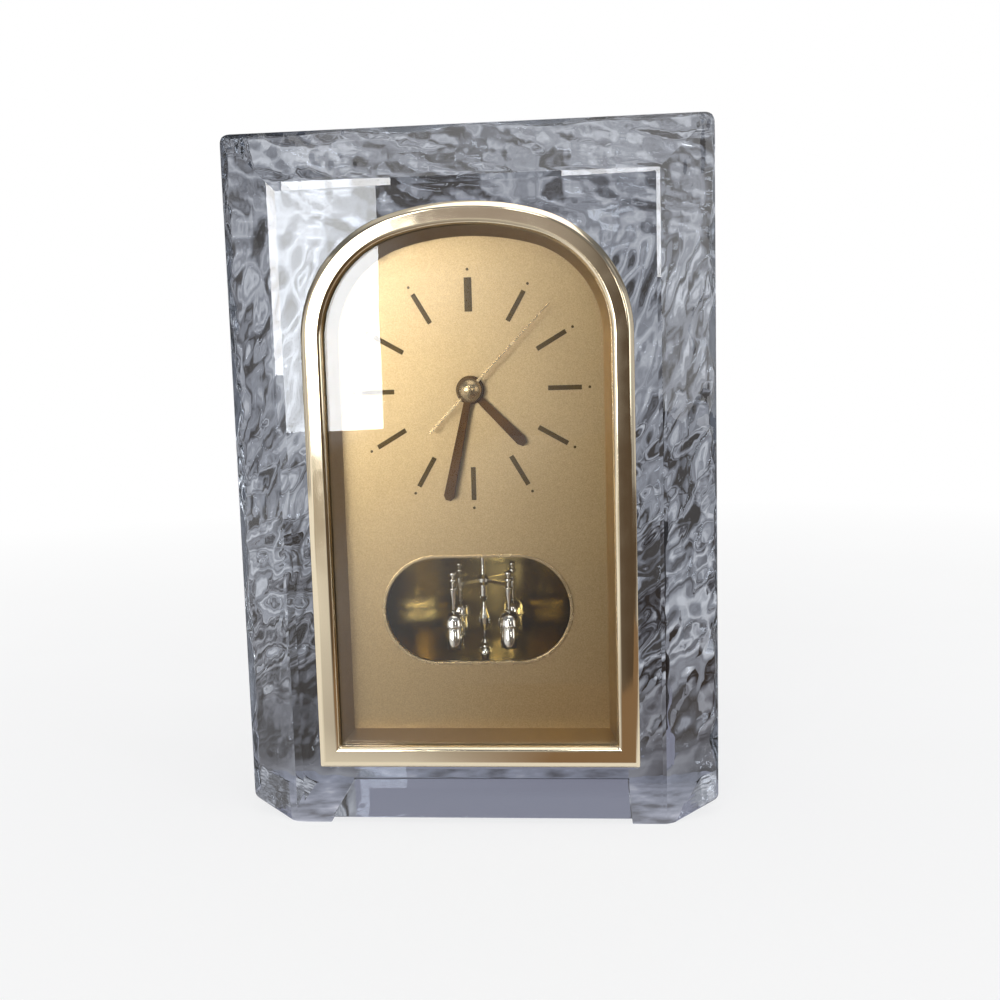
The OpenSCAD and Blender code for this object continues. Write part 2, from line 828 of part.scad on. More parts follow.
module circuit_board() {
    color([0.12, 0.35, 0.2]) slab(lid_d - board_t, lid_d)
        translate([board_x, hands_z + board_z]) square([board_w, board_h]);
}

module quartz_can() {
    color([0.75, 0.75, 0.72])
        translate([board_x + board_w / 4, front_y + lid_d - board_t - join - can_r,
            hands_z + board_z + (board_h - can_l) / 2])
            cylinder(h = can_l, r = can_r, $fn = small_fn);
}

// A winding with a flange at each end, slotted for the stator's bar
module drive_coil() {
    color([0.7, 0.36, 0.16])
        translate([coil_x, front_y + stator_d + stator_t / 2, hands_z + coil_z])
            rotate([0, 90, 0]) difference() {
                union() {
                    cylinder(h = coil_l, r = coil_r);
                    for (h = [-coil_end_t, coil_l]) translate([0, 0, h])
                        cylinder(h = coil_end_t, r = coil_end_r);
                }
                translate([0, 0, coil_l / 2]) cube([stator_w + 2 * coil_slot_gap,
                    stator_t + 2 * coil_slot_gap, coil_l + 2 * coil_end_t + over], center = true);
            }
}

// Soft iron plate: it passes through the coil and holds the rotor in its round hole
module stator() {
    color([0.6, 0.6, 0.62]) slab(stator_d, stator_d + stator_t) translate([0, hands_z])
        difference() {
            union() {
                translate([stator_left, stator_top - stator_w])
                    square([stator_right - stator_left, stator_w]);
                translate([stator_right - stator_w, rotor_at[1] - stator_eye])
                    square([stator_w, stator_top - rotor_at[1] + stator_eye]);
                translate([rotor_at[0] - stator_eye, rotor_at[1] - stator_eye])
                    square([stator_right - rotor_at[0] + stator_eye, 2 * stator_eye]);
            }
            translate(rotor_at) circle(r = rotor_r + rotor_air);
        }
}

// A steel arbor with a pivot at each end
module arbor(at) {
    rod(at[0], hands_z + at[1], move_front + move_t - pivot_in, lid_d + pivot_in, arbor_r);
}

module rotor() {
    x = rotor_at[0];
    z = hands_z + rotor_at[1];
    color([0.5, 0.5, 0.55]) {
        arbor(rotor_at);
        wheel(x, z, fifth_layer - pinion_over, rotor_layer, rotor_n,
            tooth_size(rotor_a, rotor_n, fifth_n), meshed(0, fifth_n, rotor_n, rotor_dir),
            arbor_r / 2);
        rod(x, z, rotor_layer, rotor_layer + rotor_l, rotor_r);
    }
}

module fifth_wheel() {
    x = fifth_at[0];
    z = hands_z + fifth_at[1];
    color([0.9, 0.9, 0.86]) {
        arbor(fifth_at);
        wheel(x, z, fifth_layer, fifth_layer + wheel_t, fifth_n,
            tooth_size(rotor_a, rotor_n, fifth_n), 0, arbor_r / 2);
        wheel(x, z, fourth_layer - pinion_over, fifth_layer + join, fifth_pinion_n,
            tooth_size(train_a, fifth_pinion_n, fourth_n),
            meshed(0, fourth_n, fifth_pinion_n, fifth_dir), arbor_r / 2);
    }
}

module fourth_wheel() {
    color([0.93, 0.92, 0.88]) {
        rod(0, hands_z, second_d, lid_d + pivot_in, second_shaft_r);
        wheel(0, hands_z, fourth_layer, fourth_layer + wheel_t, fourth_n,
            tooth_size(train_a, fifth_pinion_n, fourth_n), 0, second_shaft_r / 2);
        wheel(0, hands_z, third_layer - pinion_over, fourth_layer + join, fourth_pinion_n,
            tooth_size(train_a, fourth_pinion_n, third_n), 0, second_shaft_r / 2);
    }
}

module third_wheel() {
    x = third_at[0];
    z = hands_z + third_at[1];
    color([0.9, 0.9, 0.86]) {
        arbor(third_at);
        wheel(x, z, third_layer, third_layer + wheel_t, third_n,
            tooth_size(train_a, fourth_pinion_n, third_n),
            meshed(0, fourth_pinion_n, third_n, third_dir), arbor_r / 2);
        wheel(x, z, centre_layer - pinion_over, third_layer + join, third_pinion_n,
            tooth_size(train_a, third_pinion_n, centre_n), 0, arbor_r / 2);
    }
}

// The wheel that turns once an hour, with the tube that grips the cannon pinion
module centre_wheel() {
    color([0.93, 0.92, 0.88]) {
        wheel(0, hands_z, centre_layer, centre_layer + wheel_t, centre_n,
            tooth_size(train_a, third_pinion_n, centre_n),
            meshed(0, third_pinion_n, centre_n, third_dir + 180), tube_in_r);
        pipe(0, hands_z, minute_d + hand_t + tube_over, centre_layer + join,
            tube_out_r - 2 * run_gap, tube_in_r);
    }
}

module cannon_pinion() {
    color([0.93, 0.92, 0.88]) {
        pipe(0, hands_z, minute_d + hand_t, centre_layer - cannon_play, cannon_out_r, tube_out_r);
        wheel(0, hands_z, motion_layer - pinion_over, motion_layer + wheel_t + pinion_over,
            cannon_n, tooth_size(motion_a, cannon_n, minute_n), 0, tube_out_r);
    }
}

module minute_wheel() {
    x = motion_at[0];
    z = hands_z + motion_at[1];
    color([0.9, 0.9, 0.86]) {
        rod(x, z, move_front + move_t - pivot_in, lid_d, arbor_r);
        rod(x, z, motion_layer + wheel_t, lid_back + knob_gap, knob_shaft_r);
        wheel(x, z, motion_layer, motion_layer + wheel_t, minute_n,
            tooth_size(motion_a, cannon_n, minute_n),
            meshed(0, cannon_n, minute_n, motion_dir), arbor_r / 2);
        wheel(x, z, hour_layer - pinion_over, motion_layer + join, minute_pinion_n,
            tooth_size(motion_a, minute_pinion_n, hour_n), 0, arbor_r / 2);
    }
}

module hour_wheel() {
    color([0.93, 0.92, 0.88]) {
        wheel(0, hands_z, hour_layer, hour_layer + wheel_t, hour_n,
            tooth_size(motion_a, minute_pinion_n, hour_n),
            meshed(0, minute_pinion_n, hour_n, motion_dir + 180), hour_in_r);
        pipe(0, hands_z, hour_d + hand_t, hour_layer + join, hour_out_r, hour_in_r);
    }
}

module set_knob() {
    color([0.92, 0.92, 0.9]) slab(lid_back + knob_gap, lid_back + knob_gap + knob_h)
        translate([motion_at[0], hands_z + motion_at[1]]) difference() {
            circle(r = knob_r);
            for (i = [0 : 11]) rotate(30 * i) translate([knob_r + flute_r / 2, 0])
                circle(r = flute_r, $fn = small_fn);
        }
}

module battery() {
    color([0.75, 0.62, 0.3]) translate([cell_end - cell_l, front_y + cell_d, cell_z])
        rotate([0, 90, 0]) {
            cylinder(h = cell_l, r = cell_r);
            cylinder(h = cell_l + cell_nub_l, r = cell_nub_r, $fn = small_fn);
        }
}

module contact_plus() {
    color([0.8, 0.78, 0.7])
        translate([cell_end + cell_nub_l, front_y + cell_d - contact_w / 2,
            cell_z - contact_w / 2]) cube([contact_t, contact_w, contact_w]);
}

// A leaf at the negative end with a round button that presses the cell
module contact_minus() {
    color([0.8, 0.78, 0.7])
        translate([move_t - move_w / 2, front_y + cell_d, cell_z]) {
            translate([0, -contact_w / 2, -contact_w / 2])
                cube([contact_t, contact_w, contact_w]);
            rotate([0, 90, 0]) cylinder(h = button_l, r = cell_nub_r, $fn = small_fn);
        }
}

// The plan of the chamber's space: straight at the front, then a half round
module chamber_plan(grow) {
    r = chamber_r + grow;
    straight = pend_d + pend_r + brim_r + chamber_gap - chamber_r - chamber_front;
    translate([-r, 0]) square([2 * r, straight]);
    translate([0, straight]) intersection() {
        circle(r = r);
        translate([-r, 0]) square([2 * r, r]);
    }
}

// A curved shell with a floor, a ceiling and a flange, open towards the window
module pendulum_chamber() {
    color([0.5, 0.46, 0.34]) difference() {
        union() {
            translate([0, front_y + chamber_front, chamber_floor - chamber_t])
                linear_extrude(chamber_top - chamber_floor + 2 * chamber_t)
                    chamber_plan(chamber_t);
            slab(frame_d + frame_t, frame_d + frame_t + chamber_t)
                translate([0, chamber_mid_z]) square([
                    2 * (chamber_r + chamber_t + flange_w),
                    chamber_top - chamber_floor + 2 * chamber_t], center = true);
        }
        translate([0, front_y + chamber_front, chamber_floor])
            linear_extrude(chamber_top - chamber_floor) union() {
                translate([-chamber_r, -over]) square([2 * chamber_r, 2 * over]);
                chamber_plan(0);
            }
        screw_holes(chamber_screw_at, frame_d, frame_d + frame_t + chamber_t);
        on_pendulum_axis(chamber_top - over) cylinder(h = chamber_t + 2 * over, r = bush_r);
    }
}

module chamber_screws() {
    color([0.7, 0.7, 0.7]) for (p = chamber_screw_at)
        screw(p[0], p[1], frame_d + frame_t + chamber_t, frame_t + chamber_t);
}

// Brings children to the pendulum's upright axis
module on_pendulum_axis(z) {
    translate([0, front_y + pend_d, z]) children();
}

// A flanged bush in the ceiling: the pendulum's shoulder rests on its top
module pendulum_bearing() {
    color([0.8, 0.66, 0.3]) on_pendulum_axis(chamber_top) difference() {
        union() {
            cylinder(h = chamber_t, r = bush_r);
            translate([0, 0, chamber_t]) cylinder(h = bush_rim_t, r = bush_rim_r);
        }
        translate([0, 0, -over])
            cylinder(h = chamber_t + bush_rim_t + 2 * over, r = spindle_r + run_gap);
    }
}

// A round cup over the ceiling that holds the coil above the magnet
module pendulum_drive_case() {
    color([0.18, 0.18, 0.2]) on_pendulum_axis(roof_z) difference() {
        cylinder(h = drive_h, r = drive_r);
        translate([0, 0, -over]) cylinder(h = drive_h - move_t + over, r = drive_r - move_t);
    }
}

module pendulum_coil() {
    color([0.7, 0.36, 0.16]) on_pendulum_axis(roof_z + drive_h - move_t - winding_t)
        difference() {
            cylinder(h = winding_t, r = winding_r);
            translate([0, 0, -over]) cylinder(h = winding_t + 2 * over, r = winding_in_r);
        }
}

module pendulum_magnet() {
    color([0.35, 0.35, 0.38]) on_pendulum_axis(magnet_z) difference() {
        cylinder(h = magnet_t, r = magnet_r);
        translate([0, 0, -over]) cylinder(h = magnet_t + 2 * over, r = spindle_r);
    }
}

// The turned spindle: a baluster below, a collar over the bearing and the magnet's seat
module pendulum_stem() {
    low = finial_z + finial_h;
    length = arm_z - low;
    baluster = [
        [1.1, 0], [1.3, 0.05], [0.6, 0.1], [0.6, 0.24], [1.5, 0.34], [1.7, 0.44],
        [0.8, 0.58], [0.6, 0.68], [1.4, 0.78], [1.4, 0.95]
    ];
    color([0.83, 0.83, 0.82]) on_pendulum_axis(0) rotate_extrude() polygon(concat(
        [[0, low]], [for (p = baluster) [p[0], low + p[1] * length]],
        [
            [collar_r, arm_z], [collar_r, arm_z + arm_w], [1, arm_z + arm_w + 1.3],
            [spindle_r, arm_z + arm_w + 4], [spindle_r, shoulder_z], [collar_r, shoulder_z],
            [collar_r, magnet_z], [spindle_r, magnet_z], [spindle_r, magnet_z + magnet_t],
            [0, magnet_z + magnet_t]
        ]
    ));
}

// Four flat arms in a cross, from the stem's collar to the posts
module pendulum_arms() {
    color([0.83, 0.83, 0.82]) on_pendulum_axis(arm_z) for (i = [0 : 3])
        rotate([0, 0, 45 + 90 * i]) difference() {
            translate([collar_r / 2, -arm_w / 2, 0])
                cube([pend_r - collar_r / 2, arm_w, arm_w]);
            translate([0, 0, -over]) cylinder(h = arm_w + 2 * over, r = collar_r);
            translate([pend_r, 0, -over])
                cylinder(h = arm_w + 2 * over, r = post_r, $fn = small_fn);
        }
}

module at_weights() {
    on_pendulum_axis(0) for (i = [0 : 3]) rotate([0, 0, 45 + 90 * i])
        translate([pend_r, 0, 0]) children();
}

// Slender cones that carry the weights, with a bead and a ball over each arm
module pendulum_posts() {
    low = weight_z + weight_h + weight_dome;
    top = arm_z + arm_w;
    color([0.83, 0.83, 0.82]) at_weights() rotate_extrude($fn = small_fn) polygon([
        [0, low], [post_foot_r, low], [0.45, arm_z - 2], [post_r, arm_z], [post_r, top],
        [1.1, top + 0.5], [1.1, top + 1], [0.4, top + 1.5], [0.4, top + 2.3],
        [0.9, top + 2.8], [0.9, top + 3.4], [0, top + 3.9]
    ]);
}

// Bell-shaped weights: a cylinder under a wider dome
module pendulum_weights() {
    top = weight_z + weight_h;
    rise = weight_dome - dome_edge;
    color([0.87, 0.87, 0.87]) at_weights() rotate_extrude($fn = small_fn) polygon(concat(
        [
            [0, weight_z], [weight_r - 0.3, weight_z], [weight_r, weight_z + 0.3],
            [weight_r, top], [brim_r, top]
        ],
        [for (a = [0 : 15 : 90]) [
            post_foot_r + (brim_r - post_foot_r) * cos(a), top + dome_edge + rise * sin(a)
        ]],
        [[0, top + weight_dome]]
    ));
}

// The cup finial at the lower end of the stem
module pendulum_finial() {
    color([0.87, 0.87, 0.87]) on_pendulum_axis(finial_z) rotate_extrude() polygon([
        [0, 0], [0.8, 0], [1.2, 0.5], [0.9, 1], [2, 1.6], [finial_r, 2.6],
        [finial_r, 3.6], [1.2, 4.2], [1.1, finial_h], [0, finial_h]
    ]);
}

module rear_gasket() {
    color([0.16, 0.15, 0.14]) slab(block_d, back_d) arch_ring(flange_in, sleeve_in);
}

module rear_cover() {
    color([0.13, 0.13, 0.14]) difference() {
        union() {
            slab(back_d, back_d + cover_t) arch(0);
            slab(block_d, back_d + join) arch(sleeve_in + join);
        }
        slab(block_d - over, back_d + cover_t + over)
            translate([-door_w / 2 - door_gap, door_z - door_gap])
                square([door_w + 2 * door_gap, door_h + 2 * door_gap]);
        for (side = [-1, 1])
            translate([side * (door_w / 2 + door_gap - over), front_y + hinge_d, hinge_z])
                rotate([0, side * 90, 0])
                    cylinder(h = hinge_l + over, r = hinge_r + run_gap, $fn = small_fn);
        screw_holes(cover_screw_at, block_d - over, back_d + cover_t);
        for (p = cover_screw_at)
            rod(p[0], p[1], back_d + cover_t - head_t, back_d + cover_t + over,
                head_r + screw_gap);
    }
}

module cover_screws() {
    color([0.7, 0.7, 0.7]) for (p = cover_screw_at)
        screw(p[0], p[1], back_d + cover_t - head_t, cover_screw_l);
}

// A door with a round lower edge and two pins that turn in the cover
module battery_door() {
    color([0.14, 0.14, 0.15]) {
        difference() {
            union() {
                slab(back_d, back_d + cover_t) translate([-door_w / 2, hinge_z])
                    square([door_w, door_h - hinge_barrel_r]);
                translate([-door_w / 2, front_y + hinge_d, hinge_z]) rotate([0, 90, 0])
                    cylinder(h = door_w, r = hinge_barrel_r);
            }
            slab(back_d + cover_t - notch_t, back_d + cover_t + over)
                translate([0, door_z + door_h - notch_up]) circle(r = notch_r);
        }
        for (side = [-1, 1])
            translate([side * (door_w / 2 - over), front_y + hinge_d, hinge_z])
                rotate([0, side * 90, 0]) cylinder(h = over + door_gap + hinge_l - hinge_play,
                    r = hinge_r, $fn = small_fn);
    }
}

crystal_block();
bezel();
front_gasket();
front_lens();
case_sleeve();
inner_frame();
dial_plate();
hour_markers();
hour_dots();
window_trim();
mount_frame();
hour_hand();
minute_hand();
second_hand();
hand_cap();
movement_case();
movement_lid();
movement_screws();
circuit_board();
drive_coil();
stator();
quartz_can();
rotor();
fifth_wheel();
fourth_wheel();
third_wheel();
centre_wheel();
cannon_pinion();
minute_wheel();
hour_wheel();
set_knob();
battery();
contact_plus();
contact_minus();
pendulum_chamber();
chamber_screws();
pendulum_drive_case();
pendulum_coil();
pendulum_magnet();
pendulum_bearing();
pendulum_stem();
pendulum_arms();
pendulum_posts();
pendulum_weights();
pendulum_finial();
rear_gasket();
rear_cover();
cover_screws();
battery_door();
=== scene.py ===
import json
import math

import bmesh
import bpy
from mathutils import Matrix, Vector


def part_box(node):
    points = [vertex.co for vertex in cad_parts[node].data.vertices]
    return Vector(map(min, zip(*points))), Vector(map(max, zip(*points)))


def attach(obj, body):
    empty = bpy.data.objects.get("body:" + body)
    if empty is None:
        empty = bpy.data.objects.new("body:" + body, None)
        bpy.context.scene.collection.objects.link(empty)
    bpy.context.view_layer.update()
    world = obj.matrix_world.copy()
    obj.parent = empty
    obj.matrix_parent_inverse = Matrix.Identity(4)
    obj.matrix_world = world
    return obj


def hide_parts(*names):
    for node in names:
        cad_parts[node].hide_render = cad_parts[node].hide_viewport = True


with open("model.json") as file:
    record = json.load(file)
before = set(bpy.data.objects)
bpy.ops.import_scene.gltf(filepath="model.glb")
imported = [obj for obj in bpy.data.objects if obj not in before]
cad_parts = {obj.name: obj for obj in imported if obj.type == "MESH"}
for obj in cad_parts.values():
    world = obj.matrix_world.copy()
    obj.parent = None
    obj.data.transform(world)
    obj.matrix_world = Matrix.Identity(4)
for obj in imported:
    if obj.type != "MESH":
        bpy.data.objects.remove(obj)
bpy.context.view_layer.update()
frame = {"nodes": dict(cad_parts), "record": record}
nodes = frame["nodes"]
MM = 0.001

# Sizes of the clock in the frame of the CAD, in millimetres and degrees
BLOCK_W = 142.0
BLOCK_D = 52.0
BLOCK_H = 204.0
FRONT_Y = -26.35
BACK_Y = FRONT_Y + BLOCK_D
BEVEL_W = 16.2
BEVEL_D = 8.3
CORNER_R = 3.0
LOW_CORNER_R = 1.5
BLOCK_ARRIS = 0.4
RIM_TILT = 8.0
RIM_LEFT = 1.8
RIM_RIGHT = 0.8
RIM_TOP = 1.35
RIM_SLOPE = 0.009
RAIL_LIFT = 1.7
FOOT_IN = 45.0
FOOT_W = 12.0
FOOT_RISE = 4.2
SLOPE_IN = FOOT_RISE * 0.6
BEZEL_HALF = 47.7
BEZEL_BOTTOM = 17.4
CROWN_R = 76.5
CROWN_Z = 104.9
SHOULDER_R = 36.5
SHOULDER_X = 11.2
SPRING_Z = 143.3
MEETING_COS = 0.28
MEETING_SIN = 0.96
HOLE_IN = 4.0
CUTTER_PAST = 5.0

# Angles, in degrees, above which an edge stays an edge
SHARP_ANGLE = 30
BLOCK_SHARP_ANGLE = 40
TURNED_SHARP_ANGLE = 35
GRID_SHARP_ANGLE = 3
FLAT_ANGLE = 0.4

# Points nearer than this, in millimetres, become one
SAME_POINT = 0.002
SAME_SPUN_POINT = 0.004


def mm(x, y, z):
    """A point given in millimetres."""
    return Vector((x * MM, y * MM, z * MM))


# Modelling


def put_down():
    if bpy.context.mode != "OBJECT":
        bpy.ops.object.mode_set(mode="OBJECT")
    bpy.ops.object.select_all(action="DESELECT")


def pick_up(piece):
    put_down()
    bpy.context.view_layer.objects.active = piece
    piece.select_set(True)


def open_mesh(piece):
    pick_up(piece)
    bpy.ops.object.mode_set(mode="EDIT")
    bpy.ops.mesh.select_all(action="DESELECT")


def close_mesh():
    bpy.ops.object.mode_set(mode="OBJECT")


def block_of(name, low, high):
    put_down()
    middle = [(a + b) / 2 * MM for a, b in zip(low, high)]
    bpy.ops.mesh.primitive_cube_add(size=1, location=middle)
    piece = bpy.context.object
    piece.name = name
    piece.scale = [(b - a) * MM for a, b in zip(low, high)]
    settle(piece)
    return piece


def settle(piece):
    pick_up(piece)
    bpy.ops.object.transform_apply(location=True, rotation=True, scale=True)


def apply_modifier(piece, kind, **settings):
    pick_up(piece)
    made = piece.modifiers.new(kind.title(), kind)
    for key, value in settings.items():
        setattr(made, key, value)
    bpy.ops.object.modifier_apply(modifier=made.name)


def carve(piece, cutter):
    apply_modifier(piece, "BOOLEAN", object=cutter, operation="DIFFERENCE", solver="EXACT")
    bpy.data.objects.remove(cutter)


def pare(place, normal):
    """Takes away everything on the outer side of a plane and closes the cut."""
    bpy.ops.mesh.select_mode(type="VERT")
    bpy.ops.mesh.select_all(action="SELECT")
    bpy.ops.mesh.bisect(
        plane_co=place, plane_no=normal, use_fill=True, clear_outer=True
    )


def soften(piece, width, angle=SHARP_ANGLE):
    """Rounds every edge that is sharper than an angle."""
    apply_modifier(
        piece, "BEVEL", width=width * MM, segments=2,
        limit_method="ANGLE", angle_limit=math.radians(angle), harden_normals=False,
    )


def smooth(piece, angle=SHARP_ANGLE):
    pick_up(piece)
    bpy.ops.object.shade_smooth_by_angle(angle=math.radians(angle))


def arch_outline(inset, steps=24):
    """The arch's outline, that far inside the bezel's edge, from its lower right over the top."""
    meeting = math.acos(MEETING_COS)
    rim = []
    for i in range(steps + 1):
        a = math.asin(MEETING_SIN) * i / steps
        r = SHOULDER_R - inset
        rim.append((SHOULDER_X + r * math.cos(a), SPRING_Z + r * math.sin(a)))
    for i in range(1, steps + 1):
        a = meeting + (math.pi / 2 - meeting) * i / steps
        r = CROWN_R - inset
        rim.append((r * math.cos(a), CROWN_Z + r * math.sin(a)))
    right = [(BEZEL_HALF - inset, BEZEL_BOTTOM + inset)] + rim
    left = [(-x, z) for x, z in reversed(right[:-1])]
    return right + left


def filled_outline(name, outline, y0, y1):
    """A flat outline in x and z, made a solid between two depths by one extrude."""
    put_down()
    bpy.ops.mesh.primitive_circle_add(vertices=len(outline), radius=1)
    piece = bpy.context.object
    piece.name = name
    for vertex, (x, z) in zip(piece.data.vertices, outline):
        vertex.co = mm(x, y0, z)
    settle(piece)
    open_mesh(piece)
    bpy.ops.mesh.select_all(action="SELECT")
    bpy.ops.mesh.edge_face_add()
    bpy.ops.mesh.extrude_region_move(
        TRANSFORM_OT_translate={"value": (0, (y1 - y0) * MM, 0)}
    )
    bpy.ops.mesh.select_all(action="SELECT")
    bpy.ops.mesh.normals_make_consistent(inside=False)
    close_mesh()
    return piece


dressed = []


def finish_piece(piece, body, slot, *replaced):
    """Gives a finished piece its body and its finish, and lets it stand for CAD nodes."""
    settle(piece)
    dressed.append((piece, slot))
    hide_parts(*replaced)
    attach(piece, body)


def turned(name, profile, axis_x, axis_y, steps):
    """A solid of revolution: its outline, as radius and height, spun round an upright axis."""
    put_down()
    bpy.ops.mesh.primitive_circle_add(vertices=len(profile), radius=1)
    piece = bpy.context.object
    piece.name = name
    for vertex, (radius, height) in zip(piece.data.vertices, profile):
        vertex.co = mm(axis_x + radius, axis_y, height)
    settle(piece)
    open_mesh(piece)
    bpy.ops.mesh.select_all(action="SELECT")
    bpy.ops.mesh.spin(
        steps=steps, angle=2 * math.pi, center=mm(axis_x, axis_y, 0), axis=(0, 0, 1)
    )
    bpy.ops.mesh.select_all(action="SELECT")
    bpy.ops.mesh.remove_doubles(threshold=SAME_SPUN_POINT * MM)
    mesh = bmesh.from_edit_mesh(piece.data)
    for edge in [each for each in mesh.edges if not each.link_faces]:
        mesh.edges.remove(edge)
    bmesh.update_edit_mesh(piece.data)
    bpy.ops.mesh.select_all(action="SELECT")
    bpy.ops.mesh.normals_make_consistent(inside=False)
    close_mesh()
    smooth(piece, TURNED_SHARP_ANGLE)
    return piece


def copies_at(piece, places):
    """Copies a piece, each copy with its own mesh, and joins them to it."""
    copies = []
    for dx, dy in places:
        put_down()
        copy = piece.copy()
        copy.data = piece.data.copy()
        bpy.context.collection.objects.link(copy)
        copy.location = mm(dx, dy, 0)
        settle(copy)
        copies.append(copy)
    pick_up(piece)
    for copy in copies:
        copy.select_set(True)
    bpy.ops.object.join()
    return piece


def dressed_copy(node, body, slot, arris):
    """A CAD node's shape with its sharp edges rounded."""
    put_down()
    piece = nodes[node].copy()
    piece.data = nodes[node].data.copy()
    piece.name = "dressed_" + node
    piece.parent = None
    piece.matrix_world = Matrix.Identity(4)
    bpy.context.collection.objects.link(piece)
    piece.data.materials.clear()
    open_mesh(piece)
    bpy.ops.mesh.select_all(action="SELECT")
    bpy.ops.mesh.remove_doubles(threshold=SAME_POINT * MM)
    bpy.ops.mesh.dissolve_limited(angle_limit=math.radians(FLAT_ANGLE))
    close_mesh()
    pick_up(piece)
    bpy.ops.mesh.customdata_custom_splitnormals_clear()
    soften(piece, arris)
    smooth(piece)
    apply_modifier(piece, "WEIGHTED_NORMAL", keep_sharp=True)
    finish_piece(piece, body, slot, node)


# Finishes

# Most of a noise pattern lies between these two values
NOISE_LOW = 0.3
NOISE_HIGH = 0.7


def fill_ramp(node, stops):
    """Gives a colour ramp its stops: places from 0 to 1, each with a colour."""
    elements = node.color_ramp.elements
    while len(elements) < len(stops):
        elements.new(1)
    for element, (place, colour) in zip(elements, stops):
        element.position = place
        element.color = (*colour, 1)


def mix_shaders(tree, share, first, second, output):
    """Sends the first shader to an output, and the second as far as the share goes up to 1."""
    mix = tree.nodes.new("ShaderNodeMixShader")
    tree.links.new(share, mix.inputs["Fac"])
    tree.links.new(first, mix.inputs[1])
    tree.links.new(second, mix.inputs[2])
    tree.links.new(mix.outputs["Shader"], tree.nodes[output].inputs["Surface"])


class Finish:
    """A material, built from one Principled shader with patterns wired into it."""

    def __init__(self, name, colour=(0.5, 0.5, 0.5), metallic=0.0, roughness=0.5, **sockets):
        self.material = bpy.data.materials.new(name)
        self.material.use_nodes = True
        self.tree = self.material.node_tree
        self.nodes = self.tree.nodes
        self.links = self.tree.links
        self.shader = self.nodes["Principled BSDF"]
        self.shader.inputs["Base Color"].default_value = (*colour, 1)
        self.shader.inputs["Metallic"].default_value = metallic
        self.shader.inputs["Roughness"].default_value = roughness
        for key, value in sockets.items():
            self.shader.inputs[key.replace("_", " ")].default_value = value
        self.place = self.nodes.new("ShaderNodeTexCoord").outputs["Object"]

    def along(self, axis):
        """The place along one axis, in metres."""
        split = self.nodes.new("ShaderNodeSeparateXYZ")
        self.links.new(self.place, split.inputs["Vector"])
        return split.outputs[axis]

    def stretched(self, scale):
        """The place, scaled along each axis, so that a pattern gets longer where it is below 1."""
        mapping = self.nodes.new("ShaderNodeMapping")
        mapping.inputs["Scale"].default_value = scale
        self.links.new(self.place, mapping.inputs["Vector"])
        return mapping.outputs["Vector"]

    def noise(self, size_mm, detail=3.0, stretch=(1, 1, 1)):
        made = self.nodes.new("ShaderNodeTexNoise")
        made.inputs["Scale"].default_value = 1 / (size_mm * MM)
        made.inputs["Detail"].default_value = detail
        self.links.new(self.stretched(stretch), made.inputs["Vector"])
        return made.outputs["Fac"]

    def cells(self, size_mm):
        made = self.nodes.new("ShaderNodeTexVoronoi")
        made.inputs["Scale"].default_value = 1 / (size_mm * MM)
        self.links.new(self.place, made.inputs["Vector"])
        return made.outputs["Distance"]

    def spread(self, source, low, high, to_low=0.0, to_high=1.0):
        """Carries the values between two limits over to another two, and holds them there."""
        made = self.nodes.new("ShaderNodeMapRange")
        made.inputs["From Min"].default_value = low
        made.inputs["From Max"].default_value = high
        made.inputs["To Min"].default_value = to_low
        made.inputs["To Max"].default_value = to_high
        self.links.new(source, made.inputs["Value"])
        return made.outputs["Result"]

    def grows(self, source, from_mm, to_mm):
        """0 up to one place and 1 from another."""
        return self.spread(source, from_mm * MM, to_mm * MM)

    def worked_out(self, operation, *sources):
        """One step of arithmetic, under the name that Blender gives it."""
        made = self.nodes.new("ShaderNodeMath")
        made.operation = operation
        for source, entry in zip(sources, made.inputs):
            self.links.new(source, entry)
        return made.outputs[0]

    def ramp(self, source, stops, entry):
        """Turns a pattern into colours for one entry of the shader."""
        made = self.nodes.new("ShaderNodeValToRGB")
        fill_ramp(made, stops)
        self.links.new(source, made.inputs["Fac"])
        self.links.new(made.outputs["Color"], self.shader.inputs[entry])

    def tones(self, source, dark, pale, pale_at=NOISE_HIGH):
        """Lets the colour wander between two tones."""
        self.ramp(source, ((NOISE_LOW, dark), (pale_at, pale)), "Base Color")

    def rough(self, source, low, high):
        """Lets the roughness wander between two values."""
        uneven = self.spread(source, NOISE_LOW, NOISE_HIGH, low, high)
        self.links.new(uneven, self.shader.inputs["Roughness"])

    def bump(self, source, height_mm):
        """Shades the surface as if the pattern stood up from it, by this height at most."""
        made = self.nodes.new("ShaderNodeBump")
        made.inputs["Strength"].default_value = 1.0
        made.inputs["Distance"].default_value = height_mm * MM
        self.links.new(source, made.inputs["Height"])
        self.links.new(made.outputs["Normal"], self.shader.inputs["Normal"])

    def lets_lamps_through(self, tint):
        """Lamp rays pass through clear glass, so that they reach what is behind it."""
        path = self.nodes.new("ShaderNodeLightPath")
        clear = self.nodes.new("ShaderNodeBsdfTransparent")
        clear.inputs["Color"].default_value = (*tint, 1)
        glass, passed = self.shader.outputs["BSDF"], clear.outputs["BSDF"]
        mix_shaders(self.tree, path.outputs["Is Shadow Ray"], glass, passed, "Material Output")

    def on(self, piece):
        piece.data.materials.clear()
        piece.data.materials.append(self.material)


